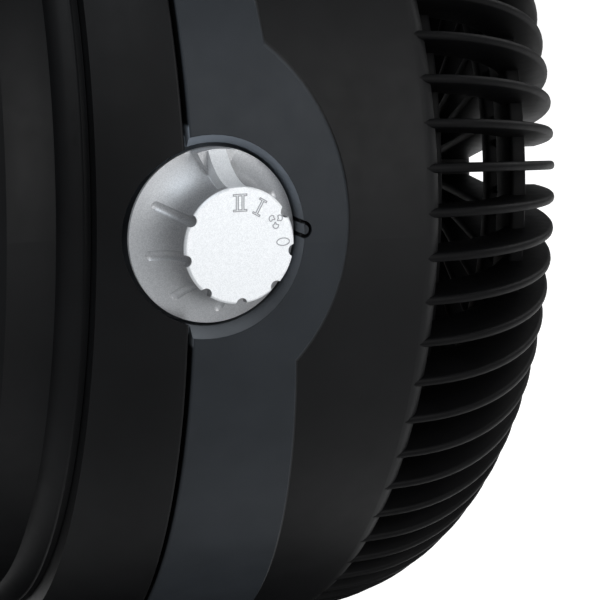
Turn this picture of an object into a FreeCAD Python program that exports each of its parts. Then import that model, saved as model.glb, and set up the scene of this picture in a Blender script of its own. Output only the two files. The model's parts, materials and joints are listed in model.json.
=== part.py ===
"""Round fan heater on a tilting foot, as a parametric FreeCAD document in millimetres.

The frame: +Z up, the air outlet faces -Y, the control knob is on the +X side, and the origin is the middle of
the foot's resting face. The body's axis runs along Y at axis_height, and the two halves meet at seam_y.
"""
import FreeCAD, Part
import math
import os
import Sketcher
from FreeCAD import Placement, Rotation, Vector

doc = FreeCAD.newDocument("fan_heater")

# Driving dimensions: millimetres, degrees and counts.
SIZES = {
    # Where the body stands
    "axis_height": 160.0,
    "seam_y": -27.0,
    # Rear shell, measured from the seam along the body's axis
    "shell_radius": 121.4,
    "shell_wall": 2.6,
    "shell_curve": 750.0,
    "slot_radius": 118.1,
    "slot_y": 61.4,
    "slot_curve": 909.0,
    "slot_drop": 7.0,
    "lip_roll": 5.0,
    "lip_inner": 108.0,
    "lip_length": 16.0,
    "lip_slope": 6.0,
    "form_reach": 4.0,
    "seam_gap": 1.0,
    "seam_lean": 1.66,
    "seam_round": 0.6,
    "seam_overrun": 9.0,
    # Raised band beside the seam, and its round bulge about the knob
    "band_height": 1.0,
    "step_y": 22.8,
    "step_lean": 5.6,
    "bulge_radius": 36.9,
    "bulge_y": -1.2,
    "bulge_z": 2.9,
    # Front housing and bezel
    "neck_radius": 115.6,
    "neck_y": 19.6,
    "neck_curve": 51.0,
    "neck_swell": 0.3,
    "neck_bore": 104.0,
    "neck_step": 1.0,
    "bezel_radius": 111.2,
    "bezel_waist": 107.0,
    "bezel_belly": 108.6,
    "bezel_front": 58.0,
    "bezel_mouth": 93.2,
    "bezel_wall": 3.0,
    "bezel_brow": 104.6,
    "bezel_brow_y": 8.0,
    "bezel_inner_y": 10.0,
    "bezel_belly_y": 20.0,
    "bezel_waist_y": 7.0,
    "bezel_flange": 1.6,
    "bezel_flange_round": 0.8,
    "bezel_flange_bevel": 0.5,
    "bezel_flange_rise": 0.7,
    "bezel_lip": 1.6,
    "bezel_lip_reach": 3.4,
    "bezel_lip_round": 2.6,
    "bezel_nose_curve": 12.0,
    "bezel_brow_curve": 26.0,
    "bezel_belly_curve": 30.0,
    "bezel_waist_curve": 7.0,
    "spigot_short": 0.8,
    "hook_width": 12.0,
    "hook_gap": 0.3,
    "hook_catch": 1.6,
    "hook_thick": 2.4,
    "hook_root": 2.0,
    # Front grille
    "guard_thick": 5.8,
    "guard_hub": 25.0,
    "guard_vanes": 44,
    "guard_vane_thick": 1.6,
    "guard_sweep": 24.0,
    "guard_curve": 95.0,
    "guard_set": 7.8,
    "guard_seat": 2.6,
    "guard_sleeve": 8.0,
    "guard_lip": 3.0,
    "guard_ring": 1.2,
    "guard_sink": 1.0,
    "guard_crown": 2.0,
    "guard_crown_edge": 1.6,
    "guard_crown_curve": 90.0,
    # Rear grille
    "fin_count": 72,
    "fin_thick": 2.2,
    "fin_depth": 12.0,
    "fin_gap": 0.3,
    "fin_proud": 0.05,
    "fin_rise": 3.0,
    "cage_ring": 4.0,
    "cage_clear": 0.5,
    "cage_lead": 14.0,
    "hoop_width": 9.0,
    "tab_circle": 103.0,
    "tab_post": 4.0,
    "tab_screw": 1.4,
    "tab_thick": 3.0,
    "tab_root": 3.0,
    "tab_pilot": 11.2,
    "tab_grip": 8.0,
    "tab_head": 2.8,
    "tab_head_thick": 2.0,
    "dome_shoulder": 109.0,
    "dome_shoulder_y": 86.0,
    "dome_corner": 92.6,
    "dome_corner_y": 100.8,
    "dome_back": 67.5,
    "dome_back_y": 108.5,
    "dome_sweep": 100.0,
    "dome_bend": 39.0,
    "dome_turn": 78.0,
    "dome_hub": 14.0,
    "dome_hub_y": 111.0,
    "dome_rim": 4.0,
    "dome_rim_round": 5.0,
    "dome_crown": 1.6,
    # Knob, its well and the switch behind it
    "knob_x": 117.4,
    "knob_y": 5.8,
    "knob_z": 2.0,
    "knob_lean": 5.0,
    "knob_radius": 19.6,
    "knob_face": 12.8,
    "knob_height": 16.6,
    "knob_waist": 11.6,
    "knob_skirt": 13.0,
    "knob_wall": 1.6,
    "rim_thick": 0.9,
    "skirt_curve": 13.0,
    "groove_radius": 1.35,
    "groove_lift": 0.7,
    "rib_width": 4.2,
    "rib_foot": 5.5,
    "rib_angle": 93.0,
    "well_radius": 20.5,
    "well_top": 14.0,
    "mouth_flare": 0.88,
    "mouth_shift": 0.94,
    "well_depth": 7.0,
    "well_floor": 2.2,
    "cup_wall": 2.2,
    "cup_inset": 0.8,
    "cup_clear": 0.4,
    "cup_step": 2.0,
    "cup_lap": 8.0,
    "mark_width": 4.0,
    "mark_reach": 22.2,
    "mark_line": 0.9,
    "mark_angle": 3.0,
    "mark_floor": 3.6,
    "switch_side": 24.0,
    "switch_depth": 13.0,
    "switch_tab": 3.6,
    "bush_radius": 4.5,
    "switch_shaft_radius": 3.0,
    "switch_shaft_clear": 0.05,
    "switch_shaft_depth": 3.6,
    "switch_tunnel": 4.0,
    "switch_tabs": 4,
    "switch_tab_pitch": 5.0,
    "switch_tab_thick": 0.8,
    "switch_tab_width": 3.0,
    "bush_rise": 4.2,
    "bush_root": 2.0,
    "switch_nut_reach": 3.0,
    "switch_nut_thick": 2.4,
    "knob_hub_wall": 2.5,
    "knob_hub_gap": 0.2,
    "knob_bore_gap": 0.3,
    "face_step": 1.2,
    "face_bevel": 0.5,
    "face_round": 0.8,
    "groove_start": 150.0,
    "groove_end": 228.0,
    "rib_inset": 0.2,
    "rib_root": 1.0,
    "rib_lift": 0.6,
    "rib_foot_drop": 0.4,
    # Bosses and screws that clamp the halves and the motor bracket
    "boss_circle": 110.0,
    "boss_radius": 6.0,
    "boss_length": 31.4,
    "boss_rib": 3.0,
    "boss_root": 0.6,
    "rib_setback": 4.0,
    "pilot_depth": 15.0,
    "screw_radius": 2.0,
    "screw_head": 3.8,
    "screw_head_thick": 2.4,
    "screw_clear": 0.2,
    "screw_bite": 0.3,
    "screw_slack": 0.35,
    # Air duct, bracket and motor
    "duct_radius": 90.0,
    "duct_wall": 1.0,
    "duct_front": 44.2,
    "duct_flange": 7.0,
    "bracket_thick": 4.0,
    "bracket_hub": 36.0,
    "bracket_lap": 6.0,
    "bracket_reach": 105.5,
    "bracket_eye": 1.5,
    "clamp_radius": 5.2,
    "arm_width": 12.0,
    "arm_start": 14.0,
    "arm_length": 74.0,
    "core_width": 62.0,
    "core_height": 74.0,
    "core_thick": 22.0,
    "core_gap": 8.0,
    "rotor_radius": 15.6,
    "rotor_gap": 0.4,
    "shaft_radius": 2.5,
    "bearing_clear": 0.03,
    "bearing_boss": 8.0,
    "motor_screw": 1.8,
    "motor_screw_x": 22.0,
    "motor_screw_head": 3.3,
    "motor_screw_head_thick": 2.0,
    "motor_screw_clear": 0.2,
    "core_limb": 12.0,
    "core_bridge": 5.0,
    "coil_inset": 1.0,
    "strap_thick": 2.0,
    "strap_width": 16.0,
    "strap_end": 4.0,
    "bearing_nose": 8.0,
    "spacer_radius": 4.0,
    "shaft_tail": 11.0,
    "shaft_nose": 3.0,
    "rotor_inset": 1.0,
    "box_reach": 70.0,
    # Fan
    "fan_radius": 83.0,
    "fan_hub": 21.0,
    "fan_front": 5.0,
    "fan_length": 22.0,
    "fan_blades": 7,
    "blade_thick": 2.0,
    "blade_pitch": 33.0,
    "fan_wall": 2.0,
    "fan_nose": 3.0,
    "fan_nose_round": 3.2,
    "fan_web": 3.6,
    "fan_core": 4.5,
    "clip_thick": 1.5,
    "clip_gap": 0.1,
    "clip_small": 4.0,
    "clip_large": 5.0,
    # Heating element
    "card_thick": 1.0,
    "card_front": 36.0,
    "card_rear": 8.0,
    "ribbon_thick": 0.5,
    "ribbon_width": 5.0,
    "ribbon_swing": 7.0,
    "ribbon_outer": 68.0,
    "ribbon_inner": 42.0,
    "ribbon_front": 30.0,
    "outer_folds": 48,
    "inner_folds": 30,
    "card_slack": 0.1,
    "window_margin": 1.2,
    "window_gap": 0.3,
    "cutout_radius": 8.0,
    "cutout_thick": 6.0,
    "cutout_cap": 5.0,
    "cutout_rise": 9.0,
    "cutout_pitch": 4.0,
    "terminal_thick": 0.8,
    "terminal_width": 3.0,
    "terminal_length": 12.0,
    "terminal_set": 2.0,
    "fuse_radius": 2.2,
    "fuse_length": 12.0,
    "fuse_lead": 0.6,
    "fuse_lead_length": 24.0,
    # Cord gland
    "gland_angle": 232.0,
    "gland_y": 34.0,
    "gland_root": 100.0,
    "gland_hole": 6.0,
    "gland_bore": 3.6,
    "gland_flange": 9.0,
    "gland_collar": 8.0,
    "gland_nose": 4.8,
    "gland_tail": 2.0,
    "gland_stand": 0.5,
    "gland_step": 3.0,
    "gland_reach": 7.0,
    # Foot and tilt hinge
    "hinge_height": 25.0,
    "hinge_radius": 4.0,
    "hinge_clear": 0.05,
    "lug_width": 26.0,
    "lug_radius": 9.0,
    "lug_screw_x": 20.0,
    "lug_pad": 9.0,
    "saddle_thick": 3.6,
    "saddle_length": 40.0,
    "saddle_width": 60.0,
    "ear_thick": 7.0,
    "ear_radius": 8.0,
    "washer_thick": 0.8,
    "washer_gap": 0.1,
    "hinge_head": 3.0,
    "hinge_head_thick": 3.0,
    "hinge_seat": 0.1,
    "hinge_tail": 4.5,
    "hinge_nut_reach": 3.4,
    "hinge_nut_thick": 4.0,
    "foot_low_bevel": 1.5,
    "foot_low_round": 1.6,
    "foot_top_bevel": 2.4,
    "foot_top_round": 2.6,
    "foot_post": 5.0,
    "foot_post_gap": 1.0,
    "foot_pilot_depth": 4.0,
    "foot_screw_bite": 0.5,
    "foot_screw_slack": 0.55,
    "foot_screw_length": 5.2,
    "foot_screw_head_thick": 1.2,
    "foot_sink_depth": 1.6,
    "foot_radius": 96.0,
    "foot_edge": 9.0,
    "foot_height": 14.0,
    "foot_crown": 30.0,
    "foot_curve": 560.0,
    "foot_wall": 3.0,
    "foot_screw_circle": 72.0,
    "weight_radius": 55.0,
    "weight_thick": 4.0,
    "pad_radius": 86.0,
    "pad_thick": 2.5,
    "plate_thick": 2.5,
    "fit_gap": 0.2,
}

sheet = doc.addObject("Spreadsheet::Sheet", "Sizes")
for row, (alias, size) in enumerate(SIZES.items(), start=1):
    sheet.set(f"A{row}", alias)
    sheet.set(f"B{row}", str(size))
    sheet.setAlias(f"B{row}", alias)
doc.recompute()


class Size:
    """A size that carries its number now and the formula that ties it to the sheet."""

    def __init__(self, number, formula):
        self.number = number
        self.formula = formula

    def __add__(self, other):
        other = as_size(other)
        return Size(self.number + other.number, f"({self.formula} + {other.formula})")

    def __sub__(self, other):
        other = as_size(other)
        return Size(self.number - other.number, f"({self.formula} - {other.formula})")

    def __mul__(self, other):
        other = as_size(other)
        return Size(self.number * other.number, f"({self.formula} * {other.formula})")

    def __truediv__(self, other):
        other = as_size(other)
        return Size(self.number / other.number, f"({self.formula} / {other.formula})")

    def __neg__(self):
        return Size(-self.number, f"(0 - {self.formula})")

    def __radd__(self, other):
        return as_size(other) + self

    def __rsub__(self, other):
        return as_size(other) - self

    def __rmul__(self, other):
        return as_size(other) * self


def as_size(value):
    """Plain numbers become sizes whose formula is the number itself."""
    if isinstance(value, Size):
        return value
    return Size(float(value), f"({float(value):.6f})")


def number(value):
    """The number of a size, or a plain number as it is."""
    return value.number if isinstance(value, Size) else float(value)


class Sheet:
    """Gives each alias of the sheet as a Size."""

    def __getattr__(self, alias):
        return Size(float(sheet.get(alias)), f"Sizes.{alias}")


at = Sheet()
PARTS = []


def bind(thing, prop, size):
    """Ties a property to the sheet, or sets it where the size is a plain number."""
    if isinstance(size, Size):
        thing.setExpression(prop, size.formula)
    else:
        setattr(thing, prop, size)


def place(thing, spot, rotation=None):
    """Puts a thing at a spot of three sizes, turned by a rotation, with the spot tied to the sheet."""
    base = Vector(*[number(value) for value in spot])
    thing.Placement = Placement(base, rotation or Rotation())
    for axis, value in zip("xyz", spot):
        if isinstance(value, Size):
            thing.setExpression(f"Placement.Base.{axis}", value.formula)
    return thing


def in_body(x, y, z):
    """A spot given from the body's axis at the seam: X to the knob side, Y to the rear, Z up."""
    return (x, at.seam_y + y, at.axis_height + z)


ALONG = {
    "x": Rotation(Vector(0, 1, 0), 90),
    "y": Rotation(Vector(1, 0, 0), -90),
    "z": Rotation(),
}


def on_axis(thing):
    """Stands a lathe-turned thing on the body's axis, its own Z towards the rear."""
    return place(thing, in_body(0, 0, 0), ALONG["y"])


def knob_turn():
    """The turn that takes Z to the knob's axis, which leans to the rear."""
    return Rotation(Vector(0, 0, 1), at.knob_lean.number).multiply(ALONG["x"])


def on_knob(thing):
    """Stands a thing on the knob's axis, with its own Z outwards from the knob's rim."""
    return place(thing, in_body(at.knob_x, at.knob_y, at.knob_z), knob_turn())


def on_floor(thing):
    """Leaves a thing standing on the foot's own axis."""
    return thing


def final(thing, label):
    """Names a finished sub-part."""
    thing.Label = label
    PARTS.append(thing)
    return thing


# Sketches and the features made from them

def arc_between(start, end, radius):
    """The short arc between two points: counter-clockwise for a positive radius, else clockwise."""
    middle = (start + end) * 0.5
    chord = end - start
    rise = math.sqrt(max(radius * radius - chord.Length ** 2 / 4, 0))
    left = Vector(-chord.y, chord.x, 0).normalize()
    centre = middle + left * math.copysign(rise, radius)
    first, last = (start, end) if radius > 0 else (end, start)
    angles = [math.atan2((p - centre).y, (p - centre).x) for p in (first, last)]
    return Part.ArcOfCircle(Part.Circle(centre, Vector(0, 0, 1), abs(radius)), angles[0], angles[1])


def pin_point(sketch, axis, geometry, end, size, name):
    """Holds one coordinate of a sketch point at a size."""
    if not isinstance(size, Size) and size == 0:
        line = -2 if axis == "X" else -1
        sketch.addConstraint(Sketcher.Constraint("PointOnObject", geometry, end, line))
        return
    index = sketch.addConstraint(Sketcher.Constraint(f"Distance{axis}", -1, 1, geometry, end, number(size)))
    if isinstance(size, Size):
        sketch.renameConstraint(index, name)
        sketch.setExpression(f"Constraints.{name}", size.formula)


def draw(body, plane, corners):
    """A closed sketch through corners (x, y); a third value is the radius of the arc to the next corner."""
    sketch = body.newObject("Sketcher::SketchObject", f"{body.Name}_outline")
    support = [feature for feature in body.Origin.OriginFeatures if feature.Role == plane][0]
    sketch.AttachmentSupport = [(support, "")]
    sketch.MapMode = "FlatFace"
    points = [Vector(number(corner[0]), number(corner[1]), 0) for corner in corners]
    ends = []
    for index, corner in enumerate(corners):
        start, end = points[index], points[(index + 1) % len(points)]
        radius = number(corner[2]) if len(corner) > 2 else 0
        if radius:
            sketch.addGeometry(arc_between(start, end, radius))
            ends.append((1, 2) if radius > 0 else (2, 1))
        else:
            sketch.addGeometry(Part.LineSegment(start, end))
            ends.append((1, 2))
    for index in range(len(corners)):
        after = (index + 1) % len(corners)
        sketch.addConstraint(Sketcher.Constraint("Coincident", index, ends[index][1], after, ends[after][0]))
    for index, corner in enumerate(corners):
        pin_point(sketch, "X", index, ends[index][0], corner[0], f"across{index}")
        pin_point(sketch, "Y", index, ends[index][0], corner[1], f"along{index}")
        if len(corner) > 2:
            name = f"radius{index}"
            radius = corner[2] if number(corner[2]) > 0 else -as_size(corner[2])
            held = sketch.addConstraint(Sketcher.Constraint("Radius", index, number(radius)))
            sketch.renameConstraint(held, name)
            sketch.setExpression(f"Constraints.{name}", as_size(radius).formula)
    return sketch


def turned(name, corners, stand=on_axis):
    """A lathe-turned body: corners are (radius, along the axis)."""
    body = doc.addObject("PartDesign::Body", name)
    sketch = draw(body, "XZ_Plane", corners)
    turn = body.newObject("PartDesign::Revolution", f"{name}_turn")
    turn.Profile = sketch
    turn.ReferenceAxis = (sketch, ["V_Axis"])
    turn.Angle = 360
    sketch.Visibility = False
    return stand(body)


def padded(name, plane, corners, thickness, both_ways=False):
    """A body padded from a sketch, square to its plane."""
    body = doc.addObject("PartDesign::Body", name)
    sketch = draw(body, plane, corners)
    pad = body.newObject("PartDesign::Pad", f"{name}_pad")
    pad.Profile = sketch
    pad.SideType = "Symmetric" if both_ways else "One side"
    bind(pad, "Length", thickness)
    return body


def around(body, count):
    """Repeats a body's last feature evenly about the body's own Z axis."""
    pattern = body.newObject("PartDesign::PolarPattern", f"{body.Name}_ring")
    pattern.Originals = [body.Group[-2]]
    axis = [feature for feature in body.Origin.OriginFeatures if feature.Role == "Z_Axis"][0]
    pattern.Axis = (axis, [""])
    pattern.Angle = 360
    bind(pattern, "Occurrences", count)
    body.Tip = pattern
    doc.recompute()
    return body


# Primitives and booleans

def rod(name, radius, length, spot, along="z"):
    """A round rod from a spot along X, Y or Z, or along a given rotation's Z."""
    thing = doc.addObject("Part::Cylinder", name)
    bind(thing, "Radius", radius)
    bind(thing, "Height", length)
    return place(thing, spot, along if isinstance(along, Rotation) else ALONG[along])


def block(name, sides, spot, rotation=None):
    """A block with its low corner at a spot."""
    thing = doc.addObject("Part::Box", name)
    for prop, side in zip(("Length", "Width", "Height"), sides):
        bind(thing, prop, side)
    return place(thing, spot, rotation)


def cut(name, base, *tools, refine=True):
    """Takes tools away from a base, with split faces merged unless refine is off."""
    thing = doc.addObject("Part::Cut", name)
    thing.Base = base
    thing.Tool = tools[0] if len(tools) == 1 else join(f"{name}_tools", *tools)
    thing.Refine = refine
    return thing


def join(name, *things, refine=True):
    """Fuses things into one, with split faces merged unless refine is off."""
    thing = doc.addObject("Part::MultiFuse", name)
    thing.Shapes = list(things)
    thing.Refine = refine
    return thing


def shared(name, *things):
    """What things have in common."""
    thing = doc.addObject("Part::MultiCommon", name)
    thing.Shapes = list(things)
    thing.Refine = True
    return thing


def group(name, things):
    """Separate equal solids kept as one node."""
    thing = doc.addObject("Part::Compound", name)
    thing.Links = list(things)
    return thing


def rounded(name, base, radius, wanted):
    """Rounds the edges of a base that a test picks."""
    doc.recompute()
    thing = doc.addObject("Part::Fillet", name)
    thing.Base = base
    picked = [index for index, edge in enumerate(base.Shape.Edges, start=1) if wanted(edge)]
    thing.Edges = [(index, number(radius), number(radius)) for index in picked]
    return thing


# Body halves

SEAM_TURN = Rotation(Vector(1, 0, 0), at.seam_lean.number)
BIG = 400.0
PAST = 1.0
THROUGH = as_size(30.0)


def seam_side(name, rear):
    """A large block on one side of the seam, half the seam's gap away from it."""
    shift = at.seam_gap * (0.5 if rear else -0.5)
    corner = SEAM_TURN.multVec(Vector(-BIG / 2, 0 if rear else -BIG, -BIG / 2))
    spot = in_body(corner.x, shift + corner.y, corner.z)
    return block(name, (BIG, BIG, BIG), spot, SEAM_TURN)


def shell_form(name, offset):
    """The rear shell's outer form, grown by an offset, from ahead of the seam to past the slots."""
    end = at.slot_y + at.form_reach
    return turned(name, [
        (0, -at.seam_overrun),
        (at.shell_radius + offset, -at.seam_overrun, at.shell_curve),
        (at.slot_radius + offset, at.slot_y),
        (at.slot_radius + offset, end),
        (0, end),
    ])


def slot_drum(name, shift):
    """A drum across the body: its rear face is the curved line where the slots begin, shifted."""
    radius = at.slot_curve + shift
    spot = in_body(-BIG / 2, at.slot_y - at.slot_curve, -at.slot_drop)
    return rod(name, radius, BIG, spot, "x")


def rolled_shell(name, offset):
    """The rear shell's outer form with its rear edge rolled inwards."""
    form = shared(f"{name}_form", shell_form(f"{name}_turned", offset), slot_drum(f"{name}_drum", offset))
    high = number(at.slot_y) * 0.7
    lip = number(at.slot_radius) * 0.9

    def rear_edge(edge):
        box = edge.BoundBox
        y = box.YMin - number(at.seam_y)
        return y > high and box.ZLength > lip

    return rounded(name, form, at.lip_roll + offset, rear_edge)


def cavity(name):
    """The hollow of the rear shell, with the thick ring behind its rolled lip."""
    inner = at.shell_radius - at.shell_wall
    ring_start = at.slot_y - at.lip_length
    return turned(name, [
        (0, -at.seam_overrun),
        (inner, -at.seam_overrun, at.shell_curve),
        (at.slot_radius - at.shell_wall, ring_start - at.lip_slope),
        (at.lip_inner, ring_start),
        (at.lip_inner, at.slot_y + at.lip_length),
        (0, at.slot_y + at.lip_length),
    ])


def band(name):
    """The raised band: a skin on the shell, ahead of a leaning step and within a bulge about the knob."""
    slope_run = 60.0
    bulge_run = 30.0
    middle = at.shell_radius + at.band_height * 0.5
    step_turn = Rotation(Vector(1, 0, 0), -90.0 + at.step_lean.number)
    step = doc.addObject("Part::Cone", f"{name}_step")
    bind(step, "Radius1", middle + slope_run)
    bind(step, "Radius2", middle - slope_run)
    bind(step, "Height", as_size(2 * slope_run))
    back = step_turn.multVec(Vector(0, 0, -slope_run))
    place(step, in_body(0, at.step_y + back.y, back.z), step_turn)
    bulge = doc.addObject("Part::Cone", f"{name}_bulge")
    bind(bulge, "Radius1", at.bulge_radius + bulge_run)
    bind(bulge, "Radius2", at.bulge_radius - bulge_run)
    bind(bulge, "Height", as_size(2 * bulge_run))
    place(bulge, in_body(middle - bulge_run, at.bulge_y, at.bulge_z), ALONG["x"])
    return shared(name, shell_form(f"{name}_form", at.band_height), join(f"{name}_area", step, bulge))


BOSS_ANGLES = (45.0, 135.0, 225.0, 315.0)


def around_bosses(y):
    """The four spots of the clamping screws, at a distance behind the seam."""
    for angle in BOSS_ANGLES:
        turn = math.radians(angle)
        yield angle, in_body(at.boss_circle * math.cos(turn), y, at.boss_circle * math.sin(turn))


def bosses(name, start, length, reach, setback):
    """Four screw bosses and the ribs that tie each one to the wall, out to a reach and from a setback on."""
    things = []
    radius = at.boss_circle
    for angle, spot in around_bosses(start):
        things.append(rod(f"{name}_{angle:.0f}", at.boss_radius, length, spot, "y"))
        turn = Rotation(Vector(0, 1, 0), -angle)
        corner = turn.multVec(Vector(0, 0, number(at.boss_rib) / -2))
        foot = in_body(radius * math.cos(math.radians(angle)) + corner.x, start + setback,
                       radius * math.sin(math.radians(angle)) + corner.z)
        sides = (reach - radius, length - setback, at.boss_rib)
        things.append(block(f"{name}_rib_{angle:.0f}", sides, foot, turn))
    return things


def boss_holes(name, radius, start, length):
    """Round holes on the bosses' axes."""
    return [rod(f"{name}_{angle:.0f}", radius, length, spot, "y") for angle, spot in around_bosses(start)]


def knob_cup(name):
    """The round cup under the knob: its rear reaches the shell, its front stays inside the front half."""
    outer = at.well_radius + at.cup_wall
    low = -at.well_depth - at.well_floor
    cup = turned(f"{name}_cup", [(0, low), (outer, low), (outer, at.well_top), (0, at.well_top)], on_knob)
    limit = shell_form(f"{name}_limit", -at.cup_inset)
    rear = shared(f"{name}_rear", cup, limit, seam_side(f"{name}_half", True))
    clear = at.shell_wall + at.cup_clear
    floor = -at.neck_y + at.shell_wall + at.fit_gap
    limit = turned(f"{name}_front_limit", [
        (0, floor),
        (at.neck_radius - clear - at.cup_step, floor),
        (at.shell_radius + at.band_height - clear, 0),
        (at.shell_radius + at.band_height - clear, at.cup_lap),
        (0, at.cup_lap),
    ])
    front = shared(f"{name}_front", cup, limit)
    return rear, front


def knob_well(name):
    """The round well that is cut away under the knob, straight to its top."""
    return turned(name, [
        (0, -at.well_depth),
        (at.well_radius, -at.well_depth),
        (at.well_radius, at.well_top),
        (0, at.well_top),
    ], on_knob)


def well_circle(name, lift):
    """A section of the flared well: over the knob's rim it widens and its middle shifts forward."""
    circle = doc.addObject("Part::Circle", name)
    above = lift if number(lift) > 0 else as_size(0)
    bind(circle, "Radius", at.well_radius + above * at.mouth_flare)
    lean = math.radians(at.knob_lean.number)
    shift = above * at.mouth_shift
    x = at.knob_x + lift * math.cos(lean) + shift * math.sin(lean)
    y = at.knob_y + lift * math.sin(lean) - shift * math.cos(lean)
    return place(circle, in_body(x, y, at.knob_z), knob_turn())


def flared_well(name):
    """The well in the rear shell: its mouth is upright at the rear and flared above and below."""
    well = doc.addObject("Part::Loft", name)
    lifts = {"floor": -at.well_depth, "rim": as_size(0), "top": at.well_top}
    well.Sections = [well_circle(f"{name}_{label}", lift) for label, lift in lifts.items()]
    well.Solid = True
    well.Ruled = True
    return well


def pointer_mark(name):
    """The notch beside the knob that its marks are set to: a round-ended groove about a small island."""
    turn = knob_turn().multiply(Rotation(Vector(0, 0, 1), at.mark_angle.number))
    lean = math.radians(at.knob_lean.number)
    lift = at.mark_floor
    spot = in_body(at.knob_x + lift * math.cos(lean), at.knob_y + lift * math.sin(lean), at.knob_z)

    def tongue(label, half, reach):
        """A round-ended block from under the knob's face out to a reach."""
        return place(padded(f"{name}_{label}", "XY_Plane", [
            (-half, at.knob_face),
            (half, at.knob_face),
            (half, reach - half, half * 1.02),
            (-half, reach - half),
        ], THROUGH), spot, turn)

    half = at.mark_width / 2
    groove = tongue("groove", half, at.mark_reach)
    island = tongue("island", half - at.mark_line, at.mark_reach - at.mark_line)
    return cut(name, groove, island)


def rear_shell():
    """Rear half of the body: rolled lip, raised band, knob well, screw bosses and pads over the lug."""
    name = "rear_shell"
    plug = join(f"{name}_plug", rolled_shell(f"{name}_rolled", as_size(0)), band(f"{name}_band"))
    trimmed = shared(f"{name}_trimmed", plug, seam_side(f"{name}_behind", True))

    def seam_edge(edge):
        box = edge.BoundBox
        return box.ZLength > number(at.shell_radius) * 1.5 and box.YMax < number(at.seam_y + at.seam_overrun)

    soft = rounded(f"{name}_soft", trimmed, at.seam_round, seam_edge)
    hollow = cut(f"{name}_hollow", soft, cavity(f"{name}_cavity"))
    cup_rear, cup_front = knob_cup(name)
    wall_middle = at.shell_radius - at.shell_wall * 0.5
    posts = bosses(f"{name}_boss", as_size(0), at.boss_length, wall_middle, at.rib_setback)
    tabs, tab_holes = grille_tabs(name)
    solid = join(f"{name}_solid", hollow, cup_rear, cup_front, *posts, *tabs, lug_pads(name))
    holes = boss_holes(f"{name}_hole", at.screw_radius + at.screw_clear, as_size(-PAST),
                       at.boss_length + 2 * PAST)
    hole = at.bush_radius + at.fit_gap
    floor = -at.well_depth - at.well_floor
    shaft_hole = turned(f"{name}_bush_hole", [
        (0, floor - PAST),
        (hole, floor - PAST),
        (hole, -at.well_depth + PAST),
        (0, -at.well_depth + PAST),
    ], on_knob)
    mouth = [flared_well(f"{name}_well"), pointer_mark(f"{name}_mark")]
    tools = [*mouth, shaft_hole, *holes, *tab_holes, *lug_holes(name), gland_hole(f"{name}_gland")]
    final(cut(name, solid, *tools), name)


LUG_SIDES = (-1, 1)


def lug_pads(name):
    """Flat seats inside the shell's floor for the tilt lug's screws."""
    low = at.axis_height - at.shell_radius
    pads = [rod(f"{name}_pad{side:+.0f}", at.boss_radius, at.lug_pad, (at.lug_screw_x * side, 0, low))
            for side in LUG_SIDES]
    limit = shell_form(f"{name}_pad_limit", -at.cup_inset)
    return shared(f"{name}_pads", join(f"{name}_pad_pair", *pads), limit)


def lug_holes(name):
    """Holes through the shell's floor for the tilt lug's screws."""
    low = at.axis_height - at.shell_radius - at.saddle_thick
    return [rod(f"{name}_lughole{side:+.0f}", at.screw_radius + at.screw_clear, THROUGH,
                (at.lug_screw_x * side, 0, low)) for side in LUG_SIDES]


def on_gland(thing):
    """Stands a thing on the cord gland's axis, low at the rear, with its own Z outwards."""
    angle = at.gland_angle.number
    turn = math.radians(angle)
    spot = in_body(at.gland_root * math.cos(turn), at.gland_y, at.gland_root * math.sin(turn))
    return place(thing, spot, Rotation(Vector(0, 1, 0), -angle).multiply(ALONG["x"]))


def gland_hole(name):
    """The round hole where the cord gland sits."""
    return on_gland(rod(name, at.gland_hole, THROUGH, (0, 0, 0)))


def front_housing():
    """Front half of the body: a shoulder from the seam to the neck that carries the bezel."""
    name = "front_housing"
    seam_radius = at.shell_radius + at.band_height + at.neck_swell
    past = at.seam_overrun * 0.7
    form = turned(f"{name}_form", [
        (0, -at.neck_y),
        (at.neck_radius, -at.neck_y, at.neck_curve),
        (seam_radius, past),
        (0, past),
    ])
    trimmed = shared(f"{name}_trimmed", form, seam_side(f"{name}_ahead", False))

    def seam_edge(edge):
        box = edge.BoundBox
        return box.ZLength > number(seam_radius) * 1.5 and box.YMax > number(at.seam_y - at.seam_overrun)

    soft = rounded(f"{name}_soft", trimmed, at.seam_round, seam_edge)
    floor = -at.neck_y + at.shell_wall
    hollow = cut(f"{name}_hollow", soft, turned(f"{name}_cavity", [
        (0, floor),
        (at.neck_radius - at.shell_wall - at.neck_step, floor, at.neck_curve),
        (seam_radius - at.shell_wall, past),
        (0, past),
    ]), turned(f"{name}_neck", [
        (0, -at.neck_y - PAST),
        (at.neck_bore, -at.neck_y - PAST),
        (at.neck_bore, floor + PAST),
        (0, floor + PAST),
    ]))
    root = floor - at.boss_root
    posts = bosses(f"{name}_boss", root, -root, at.neck_radius - at.shell_wall * 0.5, as_size(0))
    solid = join(f"{name}_solid", hollow, *posts)
    pilots = boss_holes(f"{name}_pilot", at.screw_radius - at.screw_bite, -at.pilot_depth,
                        at.pilot_depth + PAST)
    final(cut(name, solid, knob_well(f"{name}_well"), *pilots), name)


# Rear grille

TAB_ANGLES = (0.0, 90.0, 180.0, 270.0)


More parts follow.
